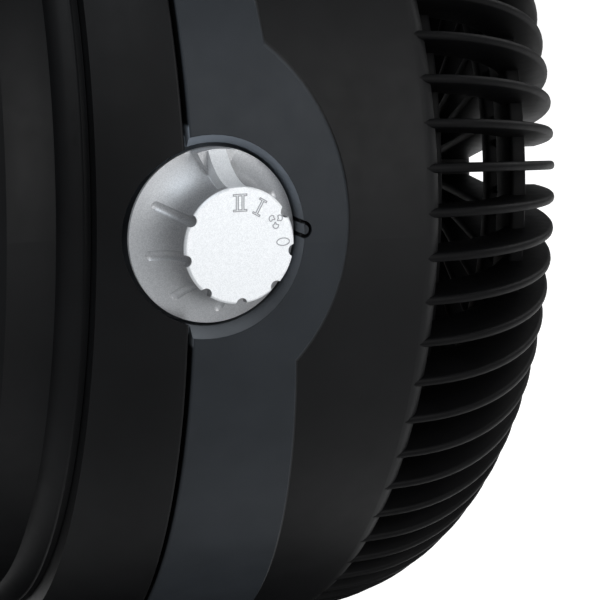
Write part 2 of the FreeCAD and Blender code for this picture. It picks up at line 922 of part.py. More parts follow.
def grille_tabs(name):
    """Tabs on the shell's lip that the rear grille's posts are screwed to, and their holes."""
    start = at.slot_y - at.lip_length - at.tab_thick
    low = at.tab_circle - at.tab_post
    width = at.tab_post * 2.0
    tabs, holes = [], []
    for angle in TAB_ANGLES:
        turn = Rotation(Vector(0, 1, 0), -angle)
        corner = turn.multVec(Vector(number(low), 0, -number(at.tab_post)))
        tabs.append(block(f"{name}_tab{angle:.0f}", (at.lip_inner + at.tab_root - low, at.tab_thick, width),
                          in_body(corner.x, start, corner.z), turn))
        x = at.tab_circle * math.cos(math.radians(angle))
        z = at.tab_circle * math.sin(math.radians(angle))
        holes.append(rod(f"{name}_tabhole{angle:.0f}", at.tab_screw + at.screw_clear, at.tab_thick + 2 * PAST,
                         in_body(x, start - PAST, z), "y"))
    return tabs, holes


def shell_curve_centre():
    """The centre of the rear shell's long curve, in radius and distance behind the seam."""
    front = Vector(number(at.shell_radius), -number(at.seam_overrun), 0)
    rear = Vector(number(at.slot_radius), number(at.slot_y), 0)
    return arc_between(front, rear, number(at.shell_curve)).Center


def shell_radius_at(y):
    """The rear shell's outer radius at a distance behind the seam."""
    centre = shell_curve_centre()
    return centre.x + math.sqrt(number(at.shell_curve) ** 2 - (y - centre.y) ** 2)


def slot_line_at(height):
    """How far behind the seam the slots begin, at a height from the body's axis."""
    curve = number(at.slot_curve)
    return number(at.slot_y) - curve + math.sqrt(curve ** 2 - (height + number(at.slot_drop)) ** 2)


def slot_slope_at(height):
    """How fast the slots' line runs to the rear there, for each millimetre of height."""
    climb = height + number(at.slot_drop)
    return -climb / math.sqrt(number(at.slot_curve) ** 2 - climb ** 2)


def lip_centre(rise):
    """The centre of the rolled lip's round in a fin's plane, and the slope of the slots' line there."""
    roll = number(at.lip_roll)
    radius = number(at.slot_radius) - roll
    for _ in range(6):
        slope = slot_slope_at(radius * rise) * rise
        y = slot_line_at(radius * rise) - roll * math.hypot(1, slope)
        radius = shell_radius_at(y) - roll
    return Vector(radius, y, 0), slope


def fin_outline(turn, whole):
    """A fin's outline in the plane at an angle about the axis: to the hub, or only to the back ring."""
    rise = -math.sin(math.radians(turn))
    depth, gap = number(at.fin_depth), number(at.fin_gap)
    reach = number(at.lip_roll) + gap
    centre, slope = lip_centre(rise)
    roll_start = centre + Vector(-slope, 1, 0).normalize() * reach
    tip_rise = number(at.fin_rise)
    tip_y = centre.y + tip_rise
    tip = centre.x + math.sqrt(reach ** 2 - tip_rise ** 2)
    inner = number(at.slot_radius) - depth
    back, back_y = number(at.dome_back), number(at.dome_back_y)
    to_hub = [
        (number(at.dome_hub), number(at.dome_hub_y)),
        (number(at.dome_hub), number(at.dome_hub_y) - depth),
    ]
    return [
        (shell_radius_at(tip_y) + number(at.fin_proud), tip_y),
        (number(at.slot_radius) + number(at.fin_proud), number(at.slot_y), number(at.dome_sweep)),
        (number(at.dome_shoulder), number(at.dome_shoulder_y), number(at.dome_bend)),
        (number(at.dome_corner), number(at.dome_corner_y), number(at.dome_turn)),
        (back, back_y),
        *(to_hub if whole else []),
        (back - depth * 0.15, back_y - depth),
        (number(at.dome_corner) - depth * 0.6, number(at.dome_corner_y) - depth * 0.8),
        (number(at.dome_shoulder) - depth * 0.93, number(at.dome_shoulder_y) - depth * 0.37),
        (inner, slot_line_at(inner * rise) + gap),
        (roll_start.x, roll_start.y, -reach),
        (tip, tip_y),
    ]


def fin_solid(turn, whole):
    """One flat fin, standing in the plane at an angle about the axis."""
    outline = fin_outline(turn, whole)
    thick = number(at.fin_thick)
    edges = []
    for corner, after in zip(outline, outline[1:] + outline[:1]):
        start, end = Vector(corner[0], corner[1], 0), Vector(after[0], after[1], 0)
        curve = arc_between(start, end, corner[2]) if len(corner) > 2 else Part.LineSegment(start, end)
        edges.append(curve.toShape())
    fin = Part.Face(Part.Wire(edges)).extrude(Vector(0, 0, thick))
    fin.translate(Vector(0, 0, -thick / 2))
    fin.rotate(Vector(), Vector(1, 0, 0), 90)
    fin.rotate(Vector(), Vector(0, 0, 1), turn)
    return fin


def fins(name):
    """All the fins, with a gap at the axis's height; every second one ends at the back ring."""
    count = int(number(at.fin_count))
    ring = doc.addObject("Part::Feature", name)
    pitch = 360.0 / count
    solids = [fin_solid((index + 0.5) * pitch, index % 2 == 0) for index in range(count)]
    ring.Shape = Part.makeCompound(solids)
    return on_axis(ring)


def rear_grille():
    """The rear cage: radial fins that lap over the shell's rolled lip, three inner rings and a hub."""
    name = "rear_grille"
    depth = at.fin_depth
    thick = at.cage_ring
    half = thick * 0.5

    def ring(label, low, high, front, rear):
        return turned(f"{name}_{label}", [(low, front), (high, front), (high, rear), (low, rear)])

    seat_radius = at.lip_inner - at.cage_clear
    seat = ring("seat", at.lip_inner - thick, seat_radius, at.slot_y - at.cage_lead, at.slot_y + thick)
    hoop_y = at.dome_corner_y - depth * 0.8
    hoop_radius = at.dome_corner - depth * 0.7
    hoop = ring("hoop", hoop_radius, hoop_radius + at.hoop_width, hoop_y - half, hoop_y + half)
    back_y = at.dome_back_y - depth
    back = ring("back", at.dome_back - thick, at.dome_back, back_y - half, back_y + half)
    hub_front = at.dome_hub_y - depth - half
    hub_radius = at.dome_hub + at.dome_rim
    hub = turned(f"{name}_hub", [
        (0, hub_front),
        (hub_radius, hub_front),
        (hub_radius, at.dome_hub_y - at.dome_crown, at.dome_rim_round),
        (at.dome_hub, at.dome_hub_y + PAST),
        (0, at.dome_hub_y + at.dome_crown),
    ])
    posts, pilots, screws = [], [], []
    tab_rear = at.slot_y - at.lip_length
    tab_front = tab_rear - at.tab_thick
    for angle in TAB_ANGLES:
        turn = math.radians(angle)
        x = at.tab_circle * math.cos(turn)
        z = at.tab_circle * math.sin(turn)
        posts.append(rod(f"{name}_post{angle:.0f}", at.tab_post, at.lip_length + half,
                         in_body(x, tab_rear, z), "y"))
        pilots.append(rod(f"{name}_pilot{angle:.0f}", at.tab_screw + at.hinge_clear, at.tab_pilot,
                          in_body(x, tab_rear - PAST, z), "y"))
        shank = rod(f"{name}_shank{angle:.0f}", at.tab_screw, at.tab_thick + at.tab_grip,
                    in_body(x, tab_front, z), "y")
        head = rod(f"{name}_head{angle:.0f}", at.tab_head, at.tab_head_thick,
                   in_body(x, tab_front - at.tab_head_thick, z), "y")
        screws.append(join(f"{name}_screw{angle:.0f}", shank, head))
    rings = join(f"{name}_rings", seat, hoop, back, hub, *posts)
    frame = cut(f"{name}_frame", rings, *pilots)
    final(join(name, fins(f"{name}_fins"), frame, refine=False), name)
    final(group("grille_screws", screws), "grille_screws")


# Front ring and its grille

HOOK_ANGLES = (20.0, 110.0, 200.0, 290.0)


def front_bezel():
    """The rounded ring about the air outlet: a spigot in the neck, a lip ahead of the grille."""
    front = at.bezel_front
    wall = at.bezel_wall
    spigot = at.neck_bore - at.fit_gap
    spigot_end = -at.neck_y + at.shell_wall - at.spigot_short
    seat = -at.neck_y - at.fit_gap
    waist_y = -at.neck_y - at.bezel_waist_y
    flange_y = -at.neck_y - at.bezel_flange
    lip = at.bezel_mouth
    groove = at.bezel_mouth + at.guard_seat
    guard_front = -front + at.guard_set
    sleeve_end = guard_front + at.guard_thick + at.guard_sleeve
    ring = turned("front_bezel_ring", [
        (spigot - wall, spigot_end),
        (at.bezel_waist - wall, waist_y),
        (at.bezel_belly - wall, -front + at.bezel_belly_y),
        (at.bezel_brow - wall, -front + at.bezel_inner_y),
        (groove + wall, guard_front + PAST),
        (groove + wall, sleeve_end),
        (groove, sleeve_end),
        (groove, guard_front),
        (lip, guard_front),
        (lip, -front + at.bezel_lip, -at.bezel_lip_round),
        (lip + at.bezel_lip_reach, -front, -at.bezel_nose_curve),
        (at.bezel_brow, -front + at.bezel_brow_y, -at.bezel_brow_curve),
        (at.bezel_belly, -front + at.bezel_belly_y, -at.bezel_belly_curve),
        (at.bezel_waist, waist_y, at.bezel_waist_curve),
        (at.bezel_radius - at.bezel_flange_bevel, flange_y - at.bezel_flange_rise, -at.bezel_flange_round),
        (at.bezel_radius, flange_y),
        (at.bezel_radius, seat),
        (spigot, seat),
        (spigot, spigot_end),
    ])
    hooks = []
    barb = -at.neck_y + at.shell_wall + at.fit_gap
    hook_end = barb + at.hook_thick
    for angle in HOOK_ANGLES:
        turn = Rotation(Vector(0, 1, 0), -angle)
        low = spigot - wall
        for label, high, start in (("stem", spigot - at.hook_gap, seat - at.hook_root),
                                   ("barb", spigot + at.hook_catch, barb)):
            corner = turn.multVec(Vector(number(low), 0, -number(at.hook_width) / 2))
            sides = (high - low, hook_end - start, at.hook_width)
            spot = in_body(corner.x, start, corner.z)
            hooks.append(block(f"front_bezel_{label}{angle:.0f}", sides, spot, turn))
    final(join("front_bezel", ring, *hooks), "front_bezel")


RING_PLACES = (0.34, 0.68)


def front_grille():
    """The outlet guard: swept vanes between a hub and three rings."""
    name = "front_grille"
    rear = -at.bezel_front + at.guard_set + at.guard_thick - at.fit_gap
    thick = at.guard_thick - at.fit_gap * 2.0
    face = rear - thick
    outer = at.bezel_mouth + at.guard_seat - at.fit_gap
    inner = at.bezel_mouth - at.guard_lip

    def ring(label, low, high, front):
        return turned(f"{name}_{label}", [(low, front), (high, front), (high, rear), (low, rear)])

    low = at.guard_hub - PAST
    high = inner + PAST
    rings = [ring("rim", inner, outer, face)]
    for step in RING_PLACES:
        middle = at.guard_hub + (high - at.guard_hub) * step
        rings.append(ring(f"ring{step * 100:.0f}", middle - at.guard_ring, middle + at.guard_ring,
                          face + at.guard_sink))
    hub = turned(f"{name}_hub", [
        (0, face - at.guard_crown),
        (at.guard_hub * 0.5, face - at.guard_crown_edge, at.guard_crown_curve),
        (at.guard_hub, face + at.guard_sink),
        (at.guard_hub, rear),
        (0, rear),
    ])
    sweep = math.radians(number(at.guard_sweep))
    half = at.guard_vane_thick * 0.5
    across, up = math.cos(sweep), math.sin(sweep)
    vane = padded(f"{name}_vane", "XY_Plane", [
        (low, -half, at.guard_curve),
        (high * across + half * up, high * up - half * across),
        (high * across - half * up, high * up + half * across, -at.guard_curve),
        (low, half),
    ], thick - at.guard_sink)
    around(vane, at.guard_vanes)
    place(vane, in_body(0, face + at.guard_sink, 0), ALONG["y"])
    final(join(name, vane, hub, *rings), name)


# Air duct and heating element

def heater_duct():
    """The sheet-steel tube about the element and the fan, flanged at its rear."""
    inner = at.duct_radius - at.duct_wall
    rear = at.boss_length - at.fit_gap
    flange = at.duct_radius + at.duct_flange
    final(turned("heater_duct", [
        (inner, -at.duct_front),
        (at.duct_radius, -at.duct_front),
        (at.duct_radius, rear - at.duct_wall),
        (flange, rear - at.duct_wall),
        (flange, rear),
        (inner, rear),
    ]), "heater_duct")


def mica_card(label, upright):
    """One of two crossed mica cards that carry the ribbons in windows."""
    reach = at.duct_radius - at.duct_wall - at.fit_gap
    thick = at.card_thick
    depth = at.card_front - at.card_rear

    def slab(name, low, high, front, rear, thickness):
        """A slab of the card between two places along it and two places along the axis."""
        if upright:
            return block(name, (thickness, rear - front, high - low), in_body(thickness * -0.5, front, low))
        return block(name, (high - low, rear - front, thickness), in_body(low, front, thickness * -0.5))

    card = slab(f"{label}_sheet", -reach, reach, -at.card_front, -at.card_rear, thick)
    tools = []
    half = thick * 0.5 + at.card_slack
    halfway = -at.card_front + depth * 0.5
    slot_front = -at.card_front - PAST if upright else halfway - at.card_slack
    slot_rear = halfway + at.card_slack if upright else -at.card_rear + PAST
    tools.append(slab(f"{label}_slot", -half, half, slot_front, slot_rear, thick * 3.0))
    for ribbon in (at.ribbon_outer, at.ribbon_inner):
        low = ribbon - at.ribbon_swing - at.window_margin
        high = ribbon + at.ribbon_swing + at.window_margin
        front = -at.ribbon_front - at.window_gap
        rear = -at.ribbon_front + at.ribbon_width + at.window_gap
        tools.append(slab(f"{label}_window", low, high, front, rear, thick * 3.0))
        tools.append(slab(f"{label}_window", -high, -low, front, rear, thick * 3.0))
    final(cut(label, card, *tools), label)


def element_ribbon(label, middle, count):
    """A closed heating ribbon folded to and fro in a ring."""
    radius = number(middle)
    folds = int(number(count))
    swing = number(at.ribbon_swing)
    slope = math.atan2(2 * swing, math.pi * radius / folds)
    half = number(at.ribbon_thick) / math.cos(slope) / 2

    def fold_line(shift):
        points = []
        for index in range(2 * folds):
            turn = math.pi * (index + 0.5) / folds
            reach = radius + (swing if index % 2 else -swing) + shift
            points.append(Vector(reach * math.cos(turn), reach * math.sin(turn), 0))
        face = Part.Face(Part.makePolygon(points + points[:1]))
        return face.extrude(Vector(0, 0, number(at.ribbon_width)))

    ribbon = doc.addObject("Part::Feature", label)
    ribbon.Shape = fold_line(half).cut(fold_line(-half))
    final(place(ribbon, in_body(0, -at.ribbon_front, 0), ALONG["y"]), label)


def element_guards():
    """The thermal cut-out on the upright card and the thermal fuse on the level one."""
    reach = at.ribbon_inner * 0.5
    half = at.card_thick * 0.5
    middle = (at.card_front + at.card_rear) * -0.5
    can = rod("cutout_can", at.cutout_radius, at.cutout_thick, in_body(half, middle, reach), "x")
    cap = rod("cutout_cap", at.cutout_cap, at.cutout_rise, in_body(half, middle, reach), "x")
    low = reach - at.terminal_width * 0.5
    tabs = [block(f"cutout_tab{side:+.0f}", (at.terminal_length, at.terminal_thick, at.terminal_width),
                  in_body(half + at.terminal_set, middle + at.cutout_pitch * side, low)) for side in (-1, 1)]
    final(join("thermal_cutout", can, cap, *tabs), "thermal_cutout")
    height = half + at.fuse_radius + at.card_slack
    bead = rod("fuse_bead", at.fuse_radius, at.fuse_length,
               in_body(-reach, middle - at.fuse_length * 0.5, height), "y")
    leads = rod("fuse_leads", at.fuse_lead, at.fuse_lead_length,
                in_body(-reach, middle - at.fuse_lead_length * 0.5, height), "y")
    final(join("thermal_fuse", bead, leads), "thermal_fuse")


# Motor, its bracket and the fan

def motor_bracket():
    """The moulded spider that clamps to the bosses and carries the motor."""
    name = "motor_bracket"
    front = at.boss_length
    rear = at.boss_length + at.bracket_thick
    through = at.bracket_thick + 2 * PAST
    rim = turned(f"{name}_rim", [
        (at.duct_radius - at.bracket_lap, front),
        (at.bracket_reach, front),
        (at.bracket_reach, rear),
        (at.duct_radius - at.bracket_lap, rear),
    ])
    plate = rod(f"{name}_plate", at.bracket_hub, at.bracket_thick, in_body(0, front, 0), "y")
    ears = [rod(f"{name}_ear{angle:.0f}", at.clamp_radius, at.bracket_thick, spot, "y")
            for angle, spot in around_bosses(front)]
    arms = []
    for angle in BOSS_ANGLES:
        turn = Rotation(Vector(0, 1, 0), -angle)
        start = turn.multVec(Vector(number(at.arm_start), 0, -number(at.arm_width) / 2))
        arms.append(block(f"{name}_arm{angle:.0f}", (at.arm_length, at.bracket_thick, at.arm_width),
                          in_body(start.x, front, start.z), turn))
    holes = boss_holes(f"{name}_hole", at.screw_radius + at.screw_clear, front - PAST, through)
    middle = rod(f"{name}_middle", at.bearing_boss + at.bracket_eye, through,
                 in_body(0, front - PAST, 0), "y")
    threads = [rod(f"{name}_thread{side:+.0f}", at.motor_screw - at.fit_gap, through,
                   in_body(at.motor_screw_x * side, front - PAST, 0), "y") for side in (-1, 1)]
    final(cut(name, join(f"{name}_spider", rim, plate, *ears, *arms), middle, *holes, *threads), name)


def core_front():
    """Where the motor's iron core begins, behind the bracket."""
    return at.boss_length + at.bracket_thick + at.core_gap


def motor():
    """Shaded-pole motor: iron core, coil, two bearing brackets, spacers and the two long screws."""
    front = core_front()
    rear = front + at.core_thick
    half = at.core_width * 0.5
    limb = at.core_limb
    low = at.rotor_radius + limb - at.core_height
    window = at.core_width * 0.28
    bore = at.rotor_radius + at.rotor_gap
    through = at.core_thick + 2 * PAST
    iron = block("core_iron", (at.core_width, at.core_thick, at.core_height), in_body(-half, front, low))
    hole_radius = at.motor_screw + at.motor_screw_clear
    screw_holes = [rod(f"core_hole{side:+.0f}", hole_radius, through,
                       in_body(at.motor_screw_x * side, front - PAST, 0), "y") for side in (-1, 1)]
    eye = rod("core_bore", bore, through, in_body(0, front - PAST, 0), "y")
    gap_top = -bore - at.core_bridge
    hole = block("core_window", (window * 2.0, through, gap_top - low - limb),
                 in_body(-window, front - PAST, low + limb))
    final(cut("stator_core", iron, eye, hole, *screw_holes), "stator_core")
    turns = at.core_gap - at.coil_inset
    clear = at.fit_gap
    coil_sides = ((window - clear) * 2.0, at.core_thick + turns * 2.0, gap_top - low - clear + turns)
    coil = block("coil_block", coil_sides, in_body(-window + clear, front - turns, low - turns))
    slot = block("coil_slot", ((window + PAST) * 2.0, at.core_thick + clear * 2.0, limb + clear * 2.0),
                 in_body(-window - PAST, front - clear, low - clear))
    final(cut("stator_coil", coil, slot), "stator_coil")
    plate = at.strap_thick
    reach = at.motor_screw_x + at.strap_end
    nose = at.core_gap - plate
    for label, face, boss_start, boss_length in (
            ("bearing_bracket_front", front - plate, front - plate - nose, plate + nose),
            ("bearing_bracket_rear", rear, rear, plate + at.bearing_nose)):
        strap = block(f"{label}_strap", (reach * 2.0, plate, at.strap_width),
                      in_body(-reach, face, at.strap_width * -0.5))
        boss = rod(f"{label}_boss", at.bearing_boss, boss_length, in_body(0, boss_start, 0), "y")
        shaft = rod(f"{label}_bore", at.shaft_radius + at.bearing_clear, boss_length + 2 * PAST,
                    in_body(0, boss_start - PAST, 0), "y")
        holes = [rod(f"{label}_hole{side:+.0f}", hole_radius, plate + 2 * PAST,
                     in_body(at.motor_screw_x * side, face - PAST, 0), "y") for side in (-1, 1)]
        final(cut(label, join(f"{label}_solid", strap, boss), shaft, *holes), label)
    spacers, screws = [], []
    bracket_rear = at.boss_length + at.bracket_thick
    for side in (-1, 1):
        x = at.motor_screw_x * side
        tube = rod(f"spacer{side:+.0f}", at.spacer_radius, nose, in_body(x, bracket_rear, 0), "y")
        hole = rod(f"spacer_hole{side:+.0f}", hole_radius, nose + 2 * PAST,
                   in_body(x, bracket_rear - PAST, 0), "y")
        spacers.append(cut(f"spacer_tube{side:+.0f}", tube, hole))
        shank = rod(f"motor_shank{side:+.0f}", at.motor_screw - at.motor_screw_clear,
                    rear + plate - at.boss_length, in_body(x, at.boss_length, 0), "y")
        head = rod(f"motor_head{side:+.0f}", at.motor_screw_head, at.motor_screw_head_thick,
                   in_body(x, rear + plate, 0), "y")
        screws.append(join(f"motor_screw{side:+.0f}", shank, head))
    final(group("motor_spacers", spacers), "motor_spacers")
    final(group("motor_screws", screws), "motor_screws")


def fan():
    """What spins: shaft, rotor, impeller and the clip that keeps it on."""
    front = core_front()
    rear = front + at.core_thick
    nose = at.fan_front - at.shaft_nose
    length = rear + at.shaft_tail - nose
    final(rod("motor_shaft", at.shaft_radius, length, in_body(0, nose, 0), "y"), "motor_shaft")
    final(turned("rotor", [
        (at.shaft_radius, front + at.rotor_inset),
        (at.rotor_radius, front + at.rotor_inset),
        (at.rotor_radius, rear - at.rotor_inset),
        (at.shaft_radius, rear - at.rotor_inset),
    ]), "rotor")
    start = at.fan_front
    end = start + at.fan_length
    wall = at.fan_wall
    core = at.shaft_radius + at.fan_core
    core_end = end - at.fan_nose
    hub = turned("fan_hub_cup", [
        (at.shaft_radius, start),
        (at.fan_hub - at.fan_nose, start, at.fan_nose_round),
        (at.fan_hub, start + at.fan_nose),
        (at.fan_hub, end),
        (at.fan_hub - wall, end),
        (at.fan_hub - wall, start + at.fan_web),
        (core, start + at.fan_web),
        (core, core_end),
        (at.shaft_radius, core_end),
    ])
    pitch = number(at.blade_pitch)
    chord = at.fan_length * 0.88 / math.sin(math.radians(pitch))
    middle = start + at.fan_length * 0.5
    count = int(number(at.fan_blades))
    blades = []
    for index in range(count):
        tilt = Rotation(Vector(1, 0, 0), pitch - 90.0)
        turn = Rotation(Vector(0, 1, 0), -360.0 * index / count).multiply(tilt)
        corner = turn.multVec(Vector(at.fan_hub.number * 0.5, chord.number / -2, at.blade_thick.number / -2))
        blades.append(block(f"blade{index}", (at.fan_radius, chord, at.blade_thick),
                            in_body(corner.x, middle + corner.y, corner.z), turn))
    sweep = rod("blade_sweep", at.fan_radius, at.fan_length, in_body(0, start, 0), "y")
    inside = rod("blade_root", at.fan_hub - wall * 0.5, at.fan_length + 2 * PAST,
                 in_body(0, start - PAST, 0), "y")
    trimmed = cut("blades_trimmed", shared("blades_swept", join("blades", *blades), sweep), inside)
    final(join("fan_impeller", hub, trimmed, refine=False), "fan_impeller")
    clip_rear = start - at.clip_gap
    clip_front = clip_rear - at.clip_thick
    final(turned("fan_clip", [
        (at.shaft_radius, clip_front),
        (at.shaft_radius + at.clip_small, clip_front),
        (at.shaft_radius + at.clip_large, clip_rear),
        (at.shaft_radius, clip_rear),
    ]), "fan_clip")


# Wiring pieces on the bracket

def bracket_box(label, angle, sides, studs):
    """A box on the back of one of the bracket's arms, with small rods standing from its rear face."""
    length, depth, width = [as_size(side) for side in sides]
    turn = Rotation(Vector(0, 1, 0), -angle)
    face = at.boss_length + at.bracket_thick
    reach = at.box_reach.number
    corner = turn.multVec(Vector(reach - length.number / 2, 0, width.number / -2))
    things = [block(f"{label}_box", (length, depth, width), in_body(corner.x, face, corner.z), turn)]
    for along, radius, height in studs:
        spot = turn.multVec(Vector(reach + along, 0, 0))
        stud_end = depth + as_size(height)
        things.append(rod(f"{label}_stud", as_size(radius), stud_end, in_body(spot.x, face, spot.z), "y"))
    final(join(label, *things), label)


# Length, depth and width of each box, then place, radius and height of each of its studs
TERMINAL_BLOCK = (30.0, 12.0, 14.0)
TERMINAL_STUDS = [(-9.0, 2.4, 3.0), (0.0, 2.4, 3.0), (9.0, 2.4, 3.0)]
TIP_SWITCH = (26.0, 16.0, 16.0)
TIP_STUDS = [(-8.0, 1.2, 5.0), (8.0, 1.2, 5.0)]


def cord_gland():
    """The flanged bush in the cord's hole, with its bore open."""
    wall_outside = at.shell_radius - at.gland_root
    start = wall_outside - at.shell_wall - at.gland_tail
    end = wall_outside + at.gland_stand
    neck = at.gland_hole - at.fit_gap
    final(turned("cord_gland", [
        (at.gland_bore, start),
        (neck, start),
        (neck, end),
        (at.gland_flange, end),
        (at.gland_collar, end + at.gland_step),
        (at.gland_nose, end + at.gland_reach),
        (at.gland_bore, end + at.gland_reach),
    ], on_gland), "cord_gland")


# Screws of the body

def housing_screws():
    """Four long screws through the bracket's ears and the rear bosses into the front bosses."""
    head_at = at.boss_length + at.bracket_thick
    screws = []
    tip = -at.pilot_depth + PAST
    for (angle, spot), (_, head_spot) in zip(around_bosses(tip), around_bosses(head_at)):
        shank = rod(f"housing_shank{angle:.0f}", at.screw_radius - at.screw_slack, head_at - tip, spot, "y")
        head = rod(f"housing_head{angle:.0f}", at.screw_head, at.screw_head_thick, head_spot, "y")
        screws.append(join(f"housing_screw{angle:.0f}", shank, head))
    final(group("housing_screws", screws), "housing_screws")


def lug_screws():
    """Two screws from inside the shell's floor into the tilt lug."""
    top = at.axis_height - at.shell_radius + at.lug_pad
    tip = at.axis_height - at.shell_radius - at.band_height - at.saddle_thick + at.shell_wall
    screws = []
    for side in LUG_SIDES:
        x = at.lug_screw_x * side
        shank = rod(f"lug_shank{side:+.0f}", at.screw_radius - at.screw_slack, top - tip, (x, 0, tip))
        head = rod(f"lug_head{side:+.0f}", at.screw_head, at.screw_head_thick, (x, 0, top))
        screws.append(join(f"lug_screw{side:+.0f}", shank, head))
    final(group("lug_screws", screws), "lug_screws")


# Knob and switch

def skirt_centre():
    """The centre of the knob skirt's hollow curve, in the knob's own radius and height."""
    start = Vector(number(at.knob_radius), number(at.rim_thick), 0)
    end = Vector(number(at.knob_waist), number(at.knob_skirt), 0)
    return arc_between(start, end, -number(at.skirt_curve)).Center


def knob_point(local, turn):
    """A point of the knob's own frame, turned about its axis, in the body's frame."""
    spot = turn.multVec(local)
    return in_body(at.knob_x + spot.x, at.knob_y + spot.y, at.knob_z + spot.z)


GROOVE_STEPS = (1.5, 2.5, 3.5, 4.5, 5.5, 6.5, 7.5)
GROOVE_PITCH = 40.0


def knob_grooves(name):
    """Seven round-bottomed grooves down the knob's skirt, each with a round end near the rim."""
    centre = skirt_centre()
    ring = at.skirt_curve - at.groove_lift
    end = math.radians(at.groove_end.number)
    grooves = []
    for step in GROOVE_STEPS:
        angle = at.rib_angle.number + 90.0 + GROOVE_PITCH * step
        side = knob_turn().multiply(Rotation(Vector(0, 0, 1), angle))
        start = Rotation(Vector(0, 0, 1), at.groove_start.number)
        flat = side.multiply(Rotation(Vector(1, 0, 0), 90)).multiply(start)
        groove = doc.addObject("Part::Torus", f"{name}_groove{step * 10:.0f}")
        bind(groove, "Radius1", ring)
        bind(groove, "Radius2", at.groove_radius)
        groove.Angle3 = at.groove_end.number - at.groove_start.number
        place(groove, knob_point(Vector(centre.x, 0, centre.y), side), flat)
        tip = Vector(centre.x + ring.number * math.cos(end), 0, centre.y + ring.number * math.sin(end))
        ball = doc.addObject("Part::Sphere", f"{name}_end{step * 10:.0f}")
        bind(ball, "Radius", at.groove_radius)
        place(ball, knob_point(tip, side))
        grooves += [groove, ball]
    return grooves


def knob_rib(name):
    """The pointer rib, from the face down the skirt to a wide foot at the rim."""
    low = at.rim_thick + at.rib_lift
    root = at.knob_waist - at.rib_root
    edge = at.knob_radius - at.rib_inset
    rib = padded(f"{name}_rib", "XZ_Plane", [
        (root, low),
        (edge, low),
        (edge, at.rib_foot, at.skirt_curve * -1.1),
        (at.knob_face - at.rib_inset, at.knob_height),
        (root, at.knob_height),
    ], at.rib_width, both_ways=True)
    half = at.rib_width * 0.5
    wide = at.rib_width * 1.25
    foot = padded(f"{name}_foot", "XY_Plane", [
        (at.knob_radius * 0.72, -half),
        (at.knob_radius + PAST, -wide),
        (at.knob_radius + PAST, wide),
        (at.knob_radius * 0.72, half),
    ], at.rib_foot - at.rib_foot_drop)
    turn = knob_turn().multiply(Rotation(Vector(0, 0, 1), at.rib_angle.number + 90.0))
    for thing in (rib, foot):
        on_knob(thing)
        thing.Placement = Placement(thing.Placement.Base, turn)
    limit = turned(f"{name}_limit", [
        (root - at.face_bevel, at.rib_inset),
        (at.knob_radius, at.rib_inset),
        (at.knob_radius, at.knob_height),
        (root - at.face_bevel, at.knob_height),
    ], on_knob)
    return shared(f"{name}_wing", join(f"{name}_ribs", rib, foot), limit)


def control_knob():
    """The knob: flared skirt, scalloped face, seven grooves and a pointer rib."""
    name = "control_knob"
    wall = at.knob_wall
    hub = at.switch_shaft_radius + at.knob_hub_wall
    hub_end = -at.well_depth + at.bush_rise + at.knob_hub_gap
    bore_top = at.knob_height * 0.5
    form = turned(f"{name}_form", [
        (at.switch_shaft_radius, hub_end),
        (hub, hub_end),
        (hub, at.knob_skirt - wall),
        (at.knob_waist - wall, at.knob_skirt - wall, at.skirt_curve + wall),
        (at.knob_radius - wall, 0),
        (at.knob_radius, 0),
        (at.knob_radius, at.rim_thick, -at.skirt_curve),
        (at.knob_waist, at.knob_skirt),
        (at.knob_face, at.knob_skirt + at.face_step),
        (at.knob_face, at.knob_height - at.face_bevel, at.face_round),
        (at.knob_face - at.face_bevel, at.knob_height),
        (0, at.knob_height),
        (0, bore_top),
        (at.switch_shaft_radius, bore_top),
    ], on_knob)
    skirt = cut(f"{name}_grooved", form, *knob_grooves(name))
    final(join(name, skirt, knob_rib(name)), name)


def along_knob(lift, across=0.0, up=0.0):
    """A point at a lift over the knob's rim, moved across its axis."""
    lean = math.radians(at.knob_lean.number)
    spot = knob_turn().multVec(Vector(across, up, 0))
    return in_body(at.knob_x + lift * math.cos(lean) + spot.x, at.knob_y + lift * math.sin(lean) + spot.y,
                   at.knob_z + spot.z)


def knob_rod(name, radius, low, high):
    """A round rod on the knob's axis between two lifts over its rim."""
    return turned(name, [(0, low), (radius, low), (radius, high), (0, high)], on_knob)


def six_sides(radius):
    """The corners of a nut."""
    turns = [math.radians(60 * index) for index in range(6)]
    return [(radius * math.cos(turn), radius * math.sin(turn)) for turn in turns]


